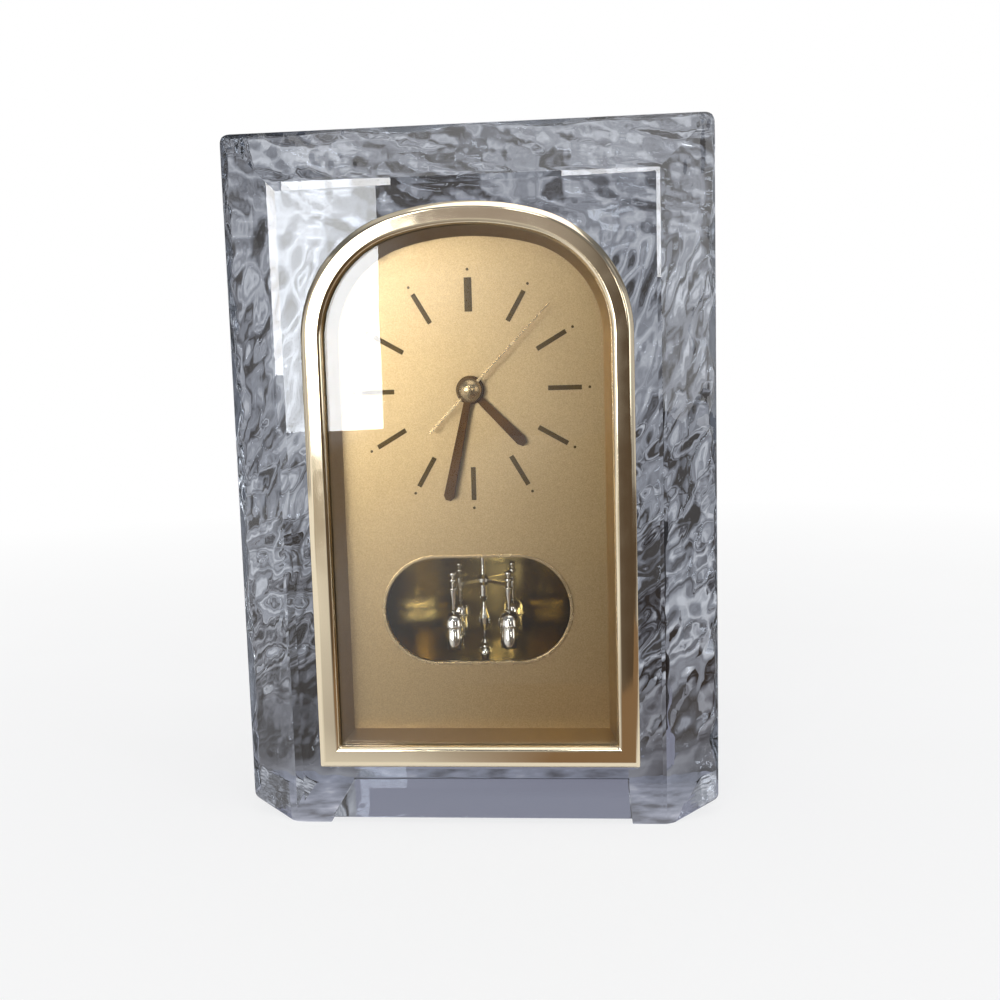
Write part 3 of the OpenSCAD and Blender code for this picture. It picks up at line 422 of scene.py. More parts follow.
def crystal_finish():
    """Clear glass with a cool tint in its depth, and fine waves only on its pressed outside."""
    made = Finish(
        "crystal", (0.93, 0.95, 0.99), roughness=0.0, IOR=1.53, Transmission_Weight=1.0
    )
    behind = made.grows(made.along("Y"), from_mm=FRONT_Y + 0.8, to_mm=FRONT_Y + 3)
    above = made.grows(made.along("Z"), from_mm=8, to_mm=24)
    off_middle = made.worked_out("ABSOLUTE", made.along("X"))
    outside = made.grows(off_middle, from_mm=43, to_mm=48)
    pressed = made.worked_out("MAXIMUM", above, outside)
    waves = made.noise(size_mm=4.5, detail=1.0, stretch=(1, 1, 0.5))
    waves_behind = made.worked_out("MULTIPLY", waves, behind)
    made.bump(made.worked_out("MULTIPLY", waves_behind, pressed), height_mm=0.25)
    depth = made.nodes.new("ShaderNodeVolumeAbsorption")
    depth.inputs["Color"].default_value = (0.42, 0.46, 0.52, 1)
    depth.inputs["Density"].default_value = 16.0
    made.links.new(depth.outputs["Volume"], made.nodes["Material Output"].inputs["Volume"])
    made.lets_lamps_through(tint=(0.72, 0.75, 0.80))
    return made


def lens_finish():
    made = Finish("lens", (0.985, 0.99, 0.99), roughness=0.0, IOR=1.55, Transmission_Weight=1.0)
    made.bump(made.noise(size_mm=25.0, detail=1.0), height_mm=0.01)
    made.lets_lamps_through(tint=(0.93, 0.94, 0.94))
    return made


def bezel_finish():
    made = Finish("polished_gold", (0.84, 0.725, 0.53), metallic=1.0)
    made.rough(made.noise(size_mm=6.0), low=0.06, high=0.13)
    made.bump(made.noise(size_mm=9.0, detail=1.0), height_mm=0.01)
    return made


def reveal_finish():
    made = Finish("reveal_gold", metallic=1.0)
    made.tones(made.noise(size_mm=0.5), dark=(0.34, 0.245, 0.13), pale=(0.38, 0.275, 0.15))
    made.rough(made.noise(size_mm=3.0), low=0.42, high=0.5)
    return made


def dial_finish():
    made = Finish("dial_gold", metallic=1.0)
    grain = made.noise(size_mm=0.28, detail=2.0)
    made.tones(grain, dark=(0.34, 0.237, 0.115), pale=(0.47, 0.335, 0.17))
    made.rough(made.noise(size_mm=0.8), low=0.28, high=0.37)
    made.bump(made.noise(size_mm=0.35, detail=2.0), height_mm=0.02)
    return made


def marker_finish():
    made = Finish("marker_brown", metallic=0.9)
    made.tones(made.noise(size_mm=0.5), dark=(0.042, 0.022, 0.001), pale=(0.062, 0.034, 0.003))
    made.rough(made.noise(size_mm=0.6), low=0.34, high=0.46)
    return made


def hand_finish():
    made = Finish("hand_bronze", metallic=1.0)
    sheen = made.noise(size_mm=9.0, detail=1.0)
    made.tones(sheen, dark=(0.05, 0.018, 0.001), pale=(0.075, 0.03, 0.003))
    made.rough(made.noise(size_mm=0.25), low=0.28, high=0.34)
    made.bump(made.noise(size_mm=0.2), height_mm=0.002)
    return made


def pale_gold_finish():
    made = Finish("pale_gold", (0.50, 0.37, 0.20), metallic=1.0)
    made.rough(made.noise(size_mm=4.0), low=0.23, high=0.29)
    return made


def chrome_finish():
    made = Finish("chrome", (0.80, 0.77, 0.70), metallic=1.0)
    made.rough(made.noise(size_mm=1.0), low=0.1, high=0.15)
    return made


def chamber_finish():
    made = Finish("chamber_bronze", (0.37, 0.275, 0.10), metallic=1.0)
    made.rough(made.noise(size_mm=3.0), low=0.17, high=0.23)
    made.bump(made.noise(size_mm=8.0, detail=1.0), height_mm=0.02)
    return made


def sleeve_finish():
    made = Finish("sleeve_grey", (0.50, 0.51, 0.53), metallic=0.7)
    made.rough(made.noise(size_mm=2.0), low=0.3, high=0.45)
    made.bump(made.noise(size_mm=0.5), height_mm=0.01)
    return made


def black_plastic_finish():
    made = Finish("black_plastic")
    made.tones(made.noise(size_mm=4.0), dark=(0.017, 0.017, 0.019), pale=(0.026, 0.026, 0.028))
    made.rough(made.noise(size_mm=1.5), low=0.38, high=0.55)
    made.bump(made.noise(size_mm=0.25, detail=2.0), height_mm=0.012)
    return made


def white_plastic_finish():
    made = Finish("white_plastic", (0.80, 0.78, 0.72))
    made.rough(made.noise(size_mm=1.0), low=0.28, high=0.42)
    made.bump(made.noise(size_mm=0.5), height_mm=0.01)
    return made


def steel_finish():
    made = Finish("steel", (0.56, 0.56, 0.57), metallic=1.0)
    made.rough(made.noise(size_mm=0.5), low=0.22, high=0.4)
    made.bump(made.noise(size_mm=0.2), height_mm=0.004)
    return made


def copper_finish():
    made = Finish("copper", (0.70, 0.30, 0.12), metallic=1.0)
    made.rough(made.noise(size_mm=0.4), low=0.2, high=0.4)
    return made


def rubber_finish():
    made = Finish("rubber", (0.02, 0.02, 0.02), roughness=0.7)
    made.bump(made.noise(size_mm=0.3), height_mm=0.02)
    return made


def board_finish():
    made = Finish("board_green", roughness=0.3)
    tracks = made.cells(size_mm=1.4)
    made.tones(tracks, dark=(0.015, 0.15, 0.06), pale=(0.02, 0.22, 0.09), pale_at=0.6)
    return made


def cell_finish():
    made = Finish("cell_wrap", (0.55, 0.40, 0.10), metallic=0.4)
    made.rough(made.noise(size_mm=2.0), low=0.18, high=0.3)
    return made


# Crystal block


def round_edges_back(glass, low, high, radius):
    """Rounds the block's edges that run from front to back at its sides, between two heights."""
    shortest = 20 * MM
    side = (BLOCK_W / 2 - 0.5) * MM
    bpy.ops.mesh.select_mode(type="EDGE")
    mesh = bmesh.from_edit_mesh(glass.data)
    for edge in mesh.edges:
        a, b = (vertex.co for vertex in edge.verts)
        runs_back = abs(a.y - b.y) > shortest
        at_side = min(abs(a.x), abs(b.x)) > side
        edge.select_set(runs_back and at_side and low * MM < a.z < high * MM)
    bmesh.update_edit_mesh(glass.data)
    bpy.ops.mesh.bevel(offset=radius * MM, segments=6, affect="EDGES")


def crystal_block():
    """The glass block, cut to its outline and bored for the arch."""
    half = BLOCK_W / 2
    glass = block_of("glass_block", (-half, FRONT_Y, 0), (half, BACK_Y, BLOCK_H))
    open_mesh(glass)
    round_edges_back(glass, low=BLOCK_H - 1, high=BLOCK_H + 1, radius=CORNER_R)
    foot_out = FOOT_IN + FOOT_W
    run = half - SLOPE_IN - foot_out
    fall = math.hypot(run, FOOT_RISE)
    for side in (-1, 1):
        pare(mm(side * foot_out, 0, 0), (side * FOOT_RISE / fall, 0, -run / fall))
    round_edges_back(glass, low=1, high=12, radius=LOW_CORNER_R)
    slope = math.hypot(BEVEL_W, BEVEL_D)
    tilt = math.radians(RIM_TILT)
    for side, rim_width in ((-1, RIM_LEFT), (1, RIM_RIGHT)):
        pare(mm(side * half, FRONT_Y + BEVEL_D, 0), (side * BEVEL_D / slope, -BEVEL_W / slope, 0))
        rim = mm(side * (half - BEVEL_W - rim_width), FRONT_Y, 0)
        pare(rim, (side * math.sin(tilt), -math.cos(tilt), 0))
    pare(mm(0, FRONT_Y + BEVEL_D, BLOCK_H), (0, -BEVEL_W / slope, BEVEL_D / slope))
    rim = mm(0, FRONT_Y, BLOCK_H - BEVEL_W - RIM_TOP)
    pare(rim, (-RIM_SLOPE * math.sin(tilt), -math.cos(tilt), math.sin(tilt)))
    close_mesh()
    before = FRONT_Y - CUTTER_PAST
    behind = BACK_Y + CUTTER_PAST
    gap = block_of("gap", (-FOOT_IN, before, -CUTTER_PAST), (FOOT_IN, behind, RAIL_LIFT))
    carve(glass, gap)
    soften(glass, BLOCK_ARRIS, BLOCK_SHARP_ANGLE)
    carve(glass, filled_outline("bore", arch_outline(HOLE_IN), before, behind))
    return glass


# The grid that takes the mould's waves, and how near to a pressed side counts as on it, in mm
GRID_STEP = 1.4
NEAR_FACE = 0.95
NEAR_POINT = 0.9

# Where the waves start and how far on they are full, in mm
BEVEL_GROWTH = 2.5
FLOOR_CLEAR = 0.5
FLOOR_GROWTH = 5
RAIL_CLEAR = 14
RAIL_GROWTH = 10
RAIL_WIDER = 4
CROWN_START = BLOCK_H - 38
CROWN_GROWTH = 14

# The level of a wave's pattern, from 0 to 1, that stays on the block's face
FACE_LEVEL = 0.85

# Waves: the points they move, their size along x, y and z and their lean and depth, in mm
# and radians
WAVES = (
    ("side_folds", "sides", (8.0, 8.0, 16.0), 0.35, 3.8),
    ("top_folds", "top", (30.0, 7.0, 9.0), 0.0, 3.4),
    ("back_folds", "back", (6.5, 10.0, 15.0), 0.45, 3.2),
    ("crown_folds", "crown", (20.0, 10.0, 5.5), 0.2, 3.4),
    ("side_ripple", "sides", (4.0, 4.0, 8.0), 0.35, 0.9),
    ("top_ripple", "top", (10.0, 3.5, 4.0), 0.0, 0.7),
    ("back_ripple", "back", (3.5, 5.0, 7.0), 0.6, 0.6),
    ("crown_ripple", "crown", (9.0, 5.0, 3.5), 0.3, 0.7),
)


def pressed_side(middle, normal):
    """True for the faces that the mould leaves wavy: the two sides, the top and the back."""
    half = BLOCK_W / 2 * MM
    near = NEAR_FACE * MM
    on_side = abs(middle.x) > half - near
    on_top = middle.z > BLOCK_H * MM - near
    on_back = middle.y > BACK_Y * MM - near
    looks_down = normal.z <= -0.3
    looks_forward = normal.y <= -0.1
    return (on_side or on_top or on_back) and not looks_down and not looks_forward


def fine_grid(glass):
    """Cuts the pressed sides into small squares, so that they can take the waves."""
    open_mesh(glass)
    bpy.ops.mesh.select_mode(type="FACE")
    low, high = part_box("crystal_block")
    mesh = bmesh.from_edit_mesh(glass.data)
    for axis in range(3):
        normal = [0, 0, 0]
        normal[axis] = 1
        count = int((high[axis] - low[axis]) / (GRID_STEP * MM))
        for i in range(1, count):
            for face in mesh.faces:
                face.select_set(False)
            for face in mesh.faces:
                if pressed_side(face.calc_center_median(), face.normal):
                    face.select_set(True)
            bmesh.update_edit_mesh(glass.data)
            place = [0, 0, 0]
            place[axis] = low[axis] + (high[axis] - low[axis]) * i / count
            bpy.ops.mesh.bisect(plane_co=place, plane_no=normal)
            mesh = bmesh.from_edit_mesh(glass.data)
    for edge in mesh.edges:
        wavy = [pressed_side(face.calc_center_median(), face.normal) for face in edge.link_faces]
        edge.smooth = all(wavy) or edge.calc_face_angle(0) < math.radians(GRID_SHARP_ANGLE)
    bmesh.update_edit_mesh(glass.data)
    close_mesh()
    for face in glass.data.polygons:
        face.use_smooth = True


def growth(distance, start, length):
    """Grows from 0 at a start to 1 a length further on, both in millimetres."""
    return (distance - start * MM) / (length * MM)


def press_waves(glass):
    """Presses long folds and short ripples into the sides, top and back.

    What a wave would push past the block's own faces is brought back to them.
    """
    half = BLOCK_W / 2 * MM
    top = BLOCK_H * MM
    front = FRONT_Y * MM
    back = BACK_Y * MM
    groups = {}
    for name in ("sides", "top", "back", "crown"):
        groups[name] = glass.vertex_groups.new(name=name)
    for vertex in glass.data.vertices:
        x, y, z = vertex.co
        gaps = {"sides": half - abs(x), "top": top - z, "back": back - y}
        name = min(gaps, key=gaps.get)
        if gaps[name] > NEAR_POINT * MM:
            continue
        from_front = growth(y - front, BEVEL_D, BEVEL_GROWTH)
        from_floor = growth(z, FLOOR_CLEAR, FLOOR_GROWTH)
        if name == "back" and abs(x) < (FOOT_IN + RAIL_WIDER) * MM:
            from_floor = growth(z, RAIL_CLEAR, RAIL_GROWTH)
        weight = max(0.0, min(1.0, from_front, from_floor))
        crown = max(0.0, min(1.0, growth(z, CROWN_START, CROWN_GROWTH)))
        if name == "back" and weight * crown > 0:
            groups["crown"].add([vertex.index], weight * crown, "REPLACE")
            weight *= 1 - crown
        if weight > 0:
            groups[name].add([vertex.index], weight, "REPLACE")
    for name, group, stretch, lean, depth in WAVES:
        texture = bpy.data.textures.new(name, "VORONOI")
        texture.noise_scale = 1.0
        guide = bpy.data.objects.new(name, None)
        bpy.context.collection.objects.link(guide)
        guide.scale = [a * MM for a in stretch]
        guide.rotation_euler = (0.0, lean, 0.0)
        bpy.context.view_layer.update()
        apply_modifier(
            glass, "DISPLACE", texture=texture, texture_coords="OBJECT",
            texture_coords_object=guide, direction="NORMAL", mid_level=FACE_LEVEL,
            strength=depth * MM, vertex_group=group,
        )
        bpy.data.objects.remove(guide)
    for vertex in glass.data.vertices:
        x, y, z = vertex.co
        vertex.co = (max(-half, min(half, x)), max(front, min(back, y)), max(0, min(top, z)))


# Pendulum

# Sizes of the pendulum, in millimetres, and how many steps go round its turned pieces
PEND_Y = FRONT_Y + 29.6
RING_R = 12.2
DIAGONALS = [math.pi * (0.25 + i / 2) for i in range(4)]
RING = [(RING_R * math.cos(a), RING_R * math.sin(a)) for a in DIAGONALS]
STEPS_BETWEEN = [(x - RING[0][0], y - RING[0][1]) for x, y in RING[1:]]
WEIGHT_LOW = 48.6
WEIGHT_TOP = 55.4
WEIGHT_R = 3.0
ROLL_R = 0.35
DOME_R = 3.7
DOME_TOP = 60.0
ARM_Z = 67.8
ARM_TOP = 68.9
FINIAL_LOW = 42.6
FINIAL_TOP = 47.2
WEIGHT_STEPS = 40
POST_STEPS = 24
FINIAL_STEPS = 48


def round_run(from_angle, to_angle, count, middle, width, height):
    """Points on an arc, each as radius and height, for a turned outline."""
    points = []
    for i in range(count + 1):
        a = math.radians(from_angle + (to_angle - from_angle) * i / count)
        points.append((middle[0] + width * math.cos(a), middle[1] + height * math.sin(a)))
    return points


def on_ring(name, profile, steps):
    """A turned piece at the first arm's end, with a copy at each of the other three."""
    x, y = RING[0]
    return copies_at(turned(name, profile, x, PEND_Y + y, steps), STEPS_BETWEEN)


def pendulum_weights():
    """Bells: a polished cylinder with a turned groove, under a wider dome with a rolled rim."""
    low, top = WEIGHT_LOW, WEIGHT_TOP
    groove = WEIGHT_R - ROLL_R
    profile = [(0, low + 0.5), (1.4, low + 0.5), (1.7, low)]
    profile += round_run(-90, 0, 4, (groove, low + ROLL_R), ROLL_R, ROLL_R)
    profile += [(WEIGHT_R - 0.2, top - 0.5), (groove, top - 0.3), (groove, top)]
    profile += round_run(-80, 60, 6, (DOME_R - ROLL_R, top + ROLL_R), ROLL_R, ROLL_R)
    profile += round_run(10, 84, 8, (0.8, top + 0.3), DOME_R - 1.0, DOME_TOP - top - ROLL_R)
    profile += [(0.9, DOME_TOP), (0, DOME_TOP)]
    bells = on_ring("bell_weights", profile, WEIGHT_STEPS)
    finish_piece(bells, "pendulum", "chrome", "pendulum_weights")


def pendulum_posts():
    """Slender cones over the bells, each with a bead on its arm and a ball on top."""
    profile = [(0, DOME_TOP), (0.9, DOME_TOP), (0.9, DOME_TOP + 0.25), (0.42, DOME_TOP + 0.6)]
    profile += [(0.5, DOME_TOP + 2.4), (0.95, DOME_TOP + 5.2), (1.15, ARM_Z - 1.2)]
    profile += round_run(-50, 40, 4, (0.65, ARM_Z - 0.6), 0.75, 0.5)
    profile += [(0.6, ARM_Z), (0.6, ARM_TOP)]
    profile += round_run(-60, 60, 6, (0.35, ARM_TOP + 0.95), 0.95, 0.85)
    profile += [(0.5, ARM_TOP + 1.85), (0.5, ARM_TOP + 2.0)]
    profile += round_run(-60, 85, 8, (0.1, ARM_TOP + 2.95), 1.15, 0.95)
    profile += [(0, ARM_TOP + 3.9)]
    posts = on_ring("ball_posts", profile, POST_STEPS)
    finish_piece(posts, "pendulum", "chrome", "pendulum_posts")


def pendulum_finial():
    """A small bell under the stem: a short cylinder below a wider dome with a rolled rim."""
    z = FINIAL_LOW
    profile = [(0, z), (1.9, z), (2.05, z + 0.15), (2.0, z + 1.7), (1.9, z + 1.8), (1.9, z + 1.95)]
    profile += round_run(-80, 60, 5, (2.25, z + 2.2), 0.25, 0.25)
    profile += round_run(10, 80, 6, (0.9, z + 2.1), 1.5, 2.2)
    profile += [(1.1, FINIAL_TOP), (0, FINIAL_TOP)]
    finial = turned("cup_finial", profile, 0, PEND_Y, FINIAL_STEPS)
    finish_piece(finial, "pendulum", "chrome", "pendulum_finial")


# Stage

# Colours of the room, by the height that a ray looks to, from 0 at eye level to 1 straight up
WHITE = (1.0, 1.0, 1.0)
CEILING = (0.16, 0.17, 0.19)
ZENITH = (0.55, 0.56, 0.58)
ROOM = ((0.30, WHITE), (0.42, CEILING), (0.74, CEILING), (0.86, ZENITH))

# The floor's size, how far its shading reaches, in metres, and the share of white at its middle
FLOOR_SIZE = 60
FLOOR_FADE_START = 0.1
FLOOR_FADE_END = 0.8
FLOOR_LEAST_WHITE = 0.74

# Bars are longer upwards than they are wide
BAR_STRETCH = (1, 1, 0.3)

# The camera: metres, degrees and, for the lens, millimetres
CAMERA_PLACE = (0.03573, -0.33981, 0.13279)
CAMERA_YAW = 4.96
CAMERA_PITCH = 6.51
CAMERA_ROLL = -1.61
LENS_LENGTH = 39.72
SENSOR_WIDTH = 36


def daylight_world():
    """Pale all round, darker higher up, paler overhead, and white wherever the camera sees it."""
    world = bpy.data.worlds.new("room")
    bpy.context.scene.world = world
    world.use_nodes = True
    tree = world.node_tree
    direction = tree.nodes.new("ShaderNodeTexCoord").outputs["Generated"]
    split = tree.nodes.new("ShaderNodeSeparateXYZ")
    tree.links.new(direction, split.inputs["Vector"])
    ramp = tree.nodes.new("ShaderNodeValToRGB")
    fill_ramp(ramp, ROOM)
    tree.links.new(split.outputs["Z"], ramp.inputs["Fac"])
    room = tree.nodes["Background"]
    tree.links.new(ramp.outputs["Color"], room.inputs["Color"])
    backdrop = tree.nodes.new("ShaderNodeBackground")
    backdrop.inputs["Color"].default_value = (*WHITE, 1)
    seen = tree.nodes.new("ShaderNodeLightPath").outputs["Is Camera Ray"]
    first, second = room.outputs["Background"], backdrop.outputs["Background"]
    mix_shaders(tree, seen, first, second, "World Output")


def pale_floor():
    """A floor that takes the shadow near the clock and is white further off."""
    put_down()
    bpy.ops.mesh.primitive_plane_add(size=FLOOR_SIZE, location=(0, 0, 0))
    floor = bpy.context.object
    floor.name = "floor"
    made = Finish("floor_pale", (0.9, 0.9, 0.9), roughness=0.9)
    glow = made.nodes.new("ShaderNodeEmission")
    glow.inputs["Color"].default_value = (*WHITE, 1)
    away = made.nodes.new("ShaderNodeVectorMath")
    away.operation = "LENGTH"
    made.links.new(made.place, away.inputs[0])
    fade = made.spread(
        away.outputs["Value"], FLOOR_FADE_START, FLOOR_FADE_END, to_low=FLOOR_LEAST_WHITE
    )
    shaded, lit = made.shader.outputs["BSDF"], glow.outputs["Emission"]
    mix_shaders(made.tree, fade, shaded, lit, "Material Output")
    made.on(floor)


def facing(place, target, front):
    """The turn that makes a thing at a place look at a target with its front."""
    return (Vector(target) - Vector(place)).to_track_quat(front, "Y")


def softbox(name, place, target, width, height, brightness, tint):
    """A soft area light of a given brightness, where 1 looks white."""
    lamp = bpy.data.lights.new(name, "AREA")
    lamp.shape = "RECTANGLE"
    lamp.size = width
    lamp.size_y = height
    lamp.energy = brightness * math.pi * width * height
    lamp.color = tint
    holder = bpy.data.objects.new(name, lamp)
    bpy.context.collection.objects.link(holder)
    holder.location = place
    holder.rotation_euler = facing(place, target, "-Z").to_euler()
    holder.visible_camera = False


def glowing(name, colour=(0, 0, 0)):
    """A finish that gives off its own colour and reflects nothing."""
    return Finish(
        name, (0, 0, 0), roughness=1.0, Specular_IOR_Level=0, Emission_Strength=1,
        Emission_Color=(*colour, 1),
    )


def soft_board(name, colour, *fades):
    """A colour that fades to nothing along its axes, so that it leaves no edge in a reflection.

    Each fade is an axis, the place where the board is clear and the place where it is full.
    """
    made = glowing(name, colour)
    strength = None
    for axis, clear_at, full_at in fades:
        fade = made.spread(made.along(axis), clear_at, full_at)
        strength = made.worked_out("MULTIPLY", strength, fade) if strength else fade
    clear = made.nodes.new("ShaderNodeBsdfTransparent")
    nothing, full = clear.outputs["BSDF"], made.shader.outputs["BSDF"]
    mix_shaders(made.tree, strength, nothing, full, "Material Output")
    return made


def barred_board(name, stops, size, shift):
    """Soft dark and pale bars for the screens that only glass and metal see."""
    made = glowing(name)
    mapping = made.stretched(BAR_STRETCH)
    mapping.node.inputs["Location"].default_value = (shift, 0, 0)
    bars = made.nodes.new("ShaderNodeTexNoise")
    bars.inputs["Scale"].default_value = 1 / size
    bars.inputs["Detail"].default_value = 3
    made.links.new(mapping, bars.inputs["Vector"])
    made.ramp(bars.outputs["Fac"], stops, "Emission Color")
    return made


def only_in_glass_and_metal(sheet):
    """Hides a sheet from the camera and from plain surfaces, and lets it cast no shadow."""
    sheet.visible_camera = False
    sheet.visible_shadow = False
    sheet.visible_diffuse = False


def flat_sheet(name, place, turn, width, height, board):
    """A flat sheet that only glass and metal see."""
    put_down()
    bpy.ops.mesh.primitive_plane_add(size=1, location=(0, 0, 0))
    sheet = bpy.context.object
    sheet.name = name
    size = Matrix.Diagonal((width, height, 1, 1))
    sheet.matrix_world = Matrix.Translation(place) @ turn @ size
    settle(sheet)
    board.on(sheet)
    only_in_glass_and_metal(sheet)


def card(name, place, target, width, height, board):
    """A card outside the picture that faces a target."""
    turn = facing(place, target, "Z").to_matrix().to_4x4()
    flat_sheet(name, place, turn, width, height, board)


def table_sheet(name, low, high, lift, board):
    """A sheet just above the table, from one corner to the other."""
    middle = ((low[0] + high[0]) / 2, (low[1] + high[1]) / 2, lift)
    turn = Matrix.Identity(4)
    flat_sheet(name, middle, turn, high[0] - low[0], high[1] - low[1], board)


def round_screen(name, radius, height, first, last, board):
    """A curved screen that stands round the table between two angles from straight behind."""
    put_down()
    bpy.ops.mesh.primitive_cylinder_add(
        vertices=96, radius=radius, depth=height, end_fill_type="NOTHING",
        location=(0, 0, height / 2),
    )
    sheet = bpy.context.object
    sheet.name = name
    settle(sheet)
    open_mesh(sheet)
    bpy.ops.mesh.select_mode(type="FACE")
    mesh = bmesh.from_edit_mesh(sheet.data)
    for face in mesh.faces:
        middle = face.calc_center_median()
        turn = math.degrees(math.atan2(middle.x, middle.y))
        face.select_set((turn - first) % 360 > last - first)
    bmesh.update_edit_mesh(sheet.data)
    bpy.ops.mesh.delete(type="FACE")
    close_mesh()
    board.on(sheet)
    only_in_glass_and_metal(sheet)


def camera():
    """The photograph's viewpoint, turned by yaw, pitch and roll."""
    lens = bpy.data.cameras.new("camera")
    lens.lens = LENS_LENGTH
    lens.sensor_width = SENSOR_WIDTH
    lens.clip_start = 0.01
    lens.clip_end = 100
    holder = bpy.data.objects.new("camera", lens)
    bpy.context.collection.objects.link(holder)
    yaw, pitch, roll = (math.radians(a) for a in (CAMERA_YAW, CAMERA_PITCH, CAMERA_ROLL))
    across = math.cos(pitch)
    forward = Vector((-math.sin(yaw) * across, math.cos(yaw) * across, -math.sin(pitch)))
    level = Vector((math.cos(yaw), math.sin(yaw), 0))
    upright = level.cross(forward)
    right = level * math.cos(roll) + upright * math.sin(roll)
    up = upright * math.cos(roll) - level * math.sin(roll)
    turn = Matrix((right, up, -forward)).transposed().to_4x4()
    holder.matrix_world = Matrix.Translation(CAMERA_PLACE) @ turn
    bpy.context.scene.camera = holder


# Making

bpy.context.scene.view_settings.view_transform = "Standard"
camera()
daylight_world()
pale_floor()

# Lamps: place, target, width, height, brightness and tint
PLAIN = (1, 1, 1)
for name, place, target, width, height, brightness, tint in (
    ("overhead", (0.2, -0.5, 1.3), (0, 0, 0.1), 1.1, 0.9, 1.4, PLAIN),
    ("window", (-0.53, -1.53, 0.33), (-0.1, 0, 0.12), 0.43, 0.58, 9.0, (0.95, 0.98, 1.0)),
    ("sky_left", (-0.362, -1.334, 0.846), (-0.04, 0, 0.188), 0.17, 0.14, 15.0, PLAIN),
    ("strip_left", (-0.86, -1.30, 0.31), (-0.055, 0, 0.16), 0.13, 0.34, 15.0, PLAIN),
    ("sky_right", (0.064, -1.334, 0.846), (0.04, 0, 0.188), 0.15, 0.12, 11.0, PLAIN),
    ("strip_right", (0.552, -1.44, 0.40), (0.054, 0, 0.18), 0.10, 0.24, 11.0, PLAIN),
    ("far_right", (1.35, -0.80, 0.36), (0, 0, 0.12), 0.75, 0.60, 2.1, (0.96, 0.98, 1.0)),
):
    softbox(name, place, target, width, height, brightness, tint)

# Bars, from the darkest to the palest: a level of the pattern and the colour there
BARS = (
    (0.38, (0.095, 0.086, 0.08)), (0.46, (0.235, 0.235, 0.25)),
    (0.545, (0.43, 0.435, 0.46)), (0.68, (0.88, 0.88, 0.89)),
)
# Painted shade: greys that the glass sees under the clock in place of the white floor, standing in
# for the shaded table beneath it
SHADE_UNDER_BARS = (
    (0.36, (0.15, 0.15, 0.17)), (0.47, (0.28, 0.29, 0.34)),
    (0.58, (0.40, 0.41, 0.48)), (0.70, (0.66, 0.66, 0.71)),
)
DIM_BARS = (
    (0.38, (0.045, 0.037, 0.033)), (0.46, (0.11, 0.105, 0.11)),
    (0.545, (0.24, 0.235, 0.25)), (0.68, (0.6, 0.6, 0.61)),
)

# Bars behind the clock, for the glass
behind_board = barred_board("bars_behind", BARS, size=0.15, shift=0.3)
round_screen("screen_behind", radius=1.0, height=0.9, first=-115, last=115, board=behind_board)
table_sheet("sheet_behind", low=(-1.0, 0.05), high=(1.0, 1.0), lift=0.0004, board=behind_board)

# Browns in front and on the right, for the gilt pieces
wall_board = soft_board("brown_wall", (0.09, 0.065, 0.045), ("X", -0.30, 0.10), ("Z", 1.1, 0.75))
round_screen("screen_front", radius=2.1, height=1.2, first=90, last=200, board=wall_board)
table_board = soft_board(
    "brown_table", (0.10, 0.072, 0.05), ("X", -0.17, 0.05), ("Y", -0.04, -0.12)
)
table_sheet("sheet_front", low=(-0.3, -2.1), high=(1.8, -0.04), lift=0.0004, board=table_board)
near_board = soft_board(
    "brown_near", (0.25, 0.165, 0.10), ("X", -0.03, 0.02), ("Y", -0.045, -0.06)
)
table_sheet("sheet_near", low=(-0.03, -0.17), high=(0.3, -0.045), lift=0.0006, board=near_board)

# Finer bars under the feet and behind them on both sides, and a grey behind the rail; the bars
# under the feet are painted shade of the table beneath the clock
shade_under_board = barred_board("shade_bars_under", SHADE_UNDER_BARS, size=0.014, shift=0.3)
table_sheet("shade_sheet_under", low=(-0.069, -0.026), high=(0.069, 0.06), lift=0.0003, board=shade_under_board)
side_board = barred_board("bars_side", DIM_BARS, size=0.045, shift=0.2)
table_sheet("sheet_left", low=(-0.35, 0.03), high=(-0.045, 0.35), lift=0.0006, board=side_board)
table_sheet("sheet_right", low=(0.045, 0.03), high=(0.35, 0.35), lift=0.0006, board=side_board)
rail_board = soft_board("grey_rail", (0.36, 0.36, 0.43), ("Z", 0.03, 0.022))
card(
    "card_rail", place=(0, 0.036, 0.0155), target=(0, 0, 0.0155), width=0.094, height=0.029,
    board=rail_board,
)

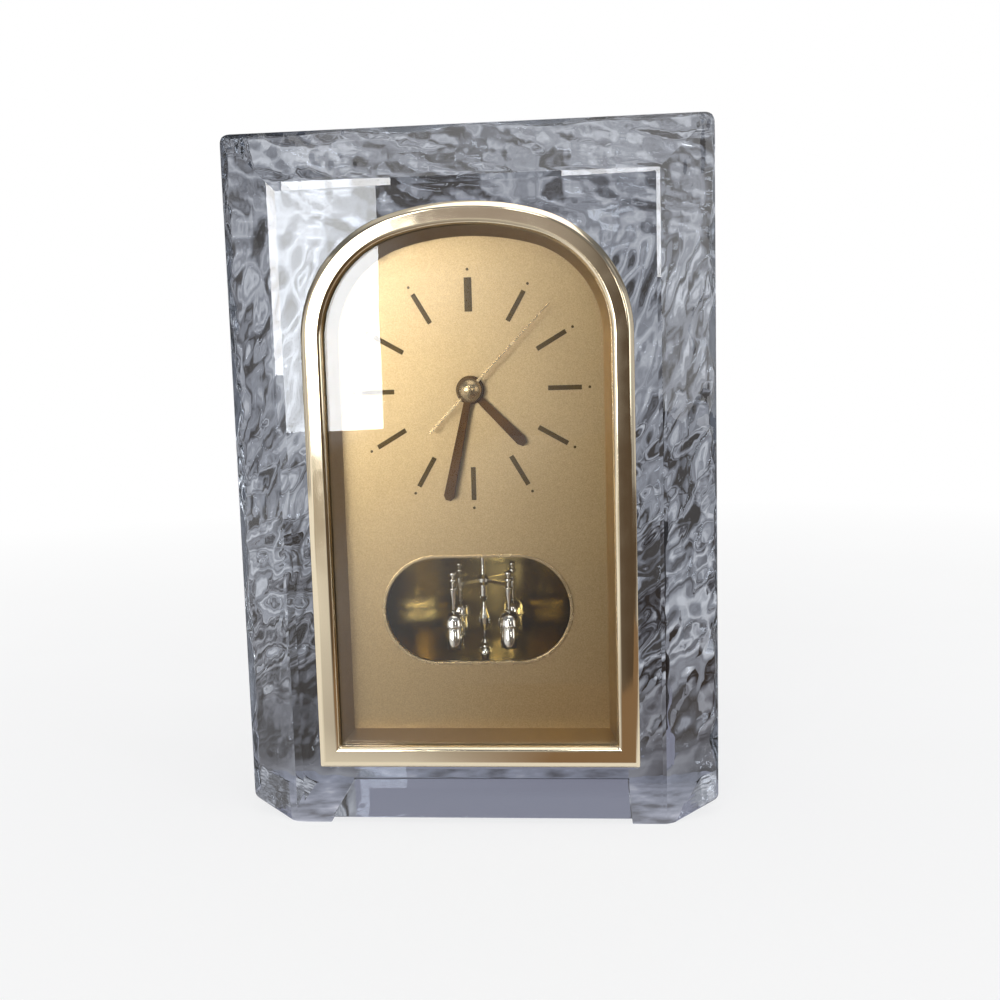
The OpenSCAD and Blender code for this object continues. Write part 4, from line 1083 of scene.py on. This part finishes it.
# Greyish browns on the left and above, for the bezel's left and top and for the hands
LEFT_TONE = (0.47, 0.43, 0.38)
LEFT_SIDES = (("X", -0.54, -0.42), ("X", -0.06, -0.22))
left_board = soft_board("brown_left", LEFT_TONE, *LEFT_SIDES, ("Z", 0.30, 0.16))
card(
    "card_left", place=(-0.30, -2.08, 0.15), target=(-0.30, 0, 0.15), width=0.48, height=0.30,
    board=left_board,
)
middle_board = soft_board("brown_middle", LEFT_TONE, *LEFT_SIDES, ("Y", -0.3, -0.5))
table_sheet(
    "sheet_middle", low=(-0.54, -2.08), high=(-0.06, -0.3), lift=0.0007, board=middle_board
)
upper_board = soft_board(
    "grey_upper", (0.38, 0.34, 0.33), ("X", -0.44, -0.32), ("X", 0.06, -0.06), ("Z", 0.34, 0.42),
    ("Z", 0.68, 0.6),
)
card(
    "card_upper", place=(-0.19, -2.05, 0.51), target=(-0.19, 0, 0.51), width=0.5, height=0.35,
    board=upper_board,
)

glass = crystal_block()
fine_grid(glass)
press_waves(glass)
finish_piece(glass, "case", "crystal", "crystal_block")

pendulum_weights()
pendulum_posts()
pendulum_finial()

# The other visible pieces with rounded edges: CAD node, body, finish and the rounding in mm
for node, body, slot, arris in (
    ("bezel", "case", "polished_gold", 0.6),
    ("inner_frame", "case", "reveal_gold", 0.1),
    ("window_trim", "case", "pale_gold", 0.2),
    ("hour_markers", "case", "marker_brown", 0.06),
    ("hour_hand", "hours", "hand_bronze", 0.1),
    ("minute_hand", "minutes", "hand_bronze", 0.1),
    ("second_hand", "seconds", "pale_gold", 0.07),
    ("pendulum_arms", "pendulum", "chrome", 0.15),
    ("rear_cover", "case", "black_plastic", 0.35),
    ("battery_door", "door", "black_plastic", 0.3),
    ("set_knob", "setting", "white_plastic", 0.15),
):
    dressed_copy(node, body, slot, arris)

finish_of = {
    "crystal": crystal_finish,
    "lens": lens_finish,
    "polished_gold": bezel_finish,
    "reveal_gold": reveal_finish,
    "dial_gold": dial_finish,
    "marker_brown": marker_finish,
    "hand_bronze": hand_finish,
    "pale_gold": pale_gold_finish,
    "chrome": chrome_finish,
    "chamber_bronze": chamber_finish,
    "sleeve_grey": sleeve_finish,
    "black_plastic": black_plastic_finish,
    "white_plastic": white_plastic_finish,
    "steel": steel_finish,
    "copper": copper_finish,
    "rubber": rubber_finish,
    "board_green": board_finish,
    "cell_wrap": cell_finish,
}
made_finishes = {slot: make() for slot, make in finish_of.items()}
for part in frame["record"]["subparts"]:
    made_finishes[part["material_slot"]].on(nodes[part["node"]])
for piece, slot in dressed:
    made_finishes[slot].on(piece)

put_down()
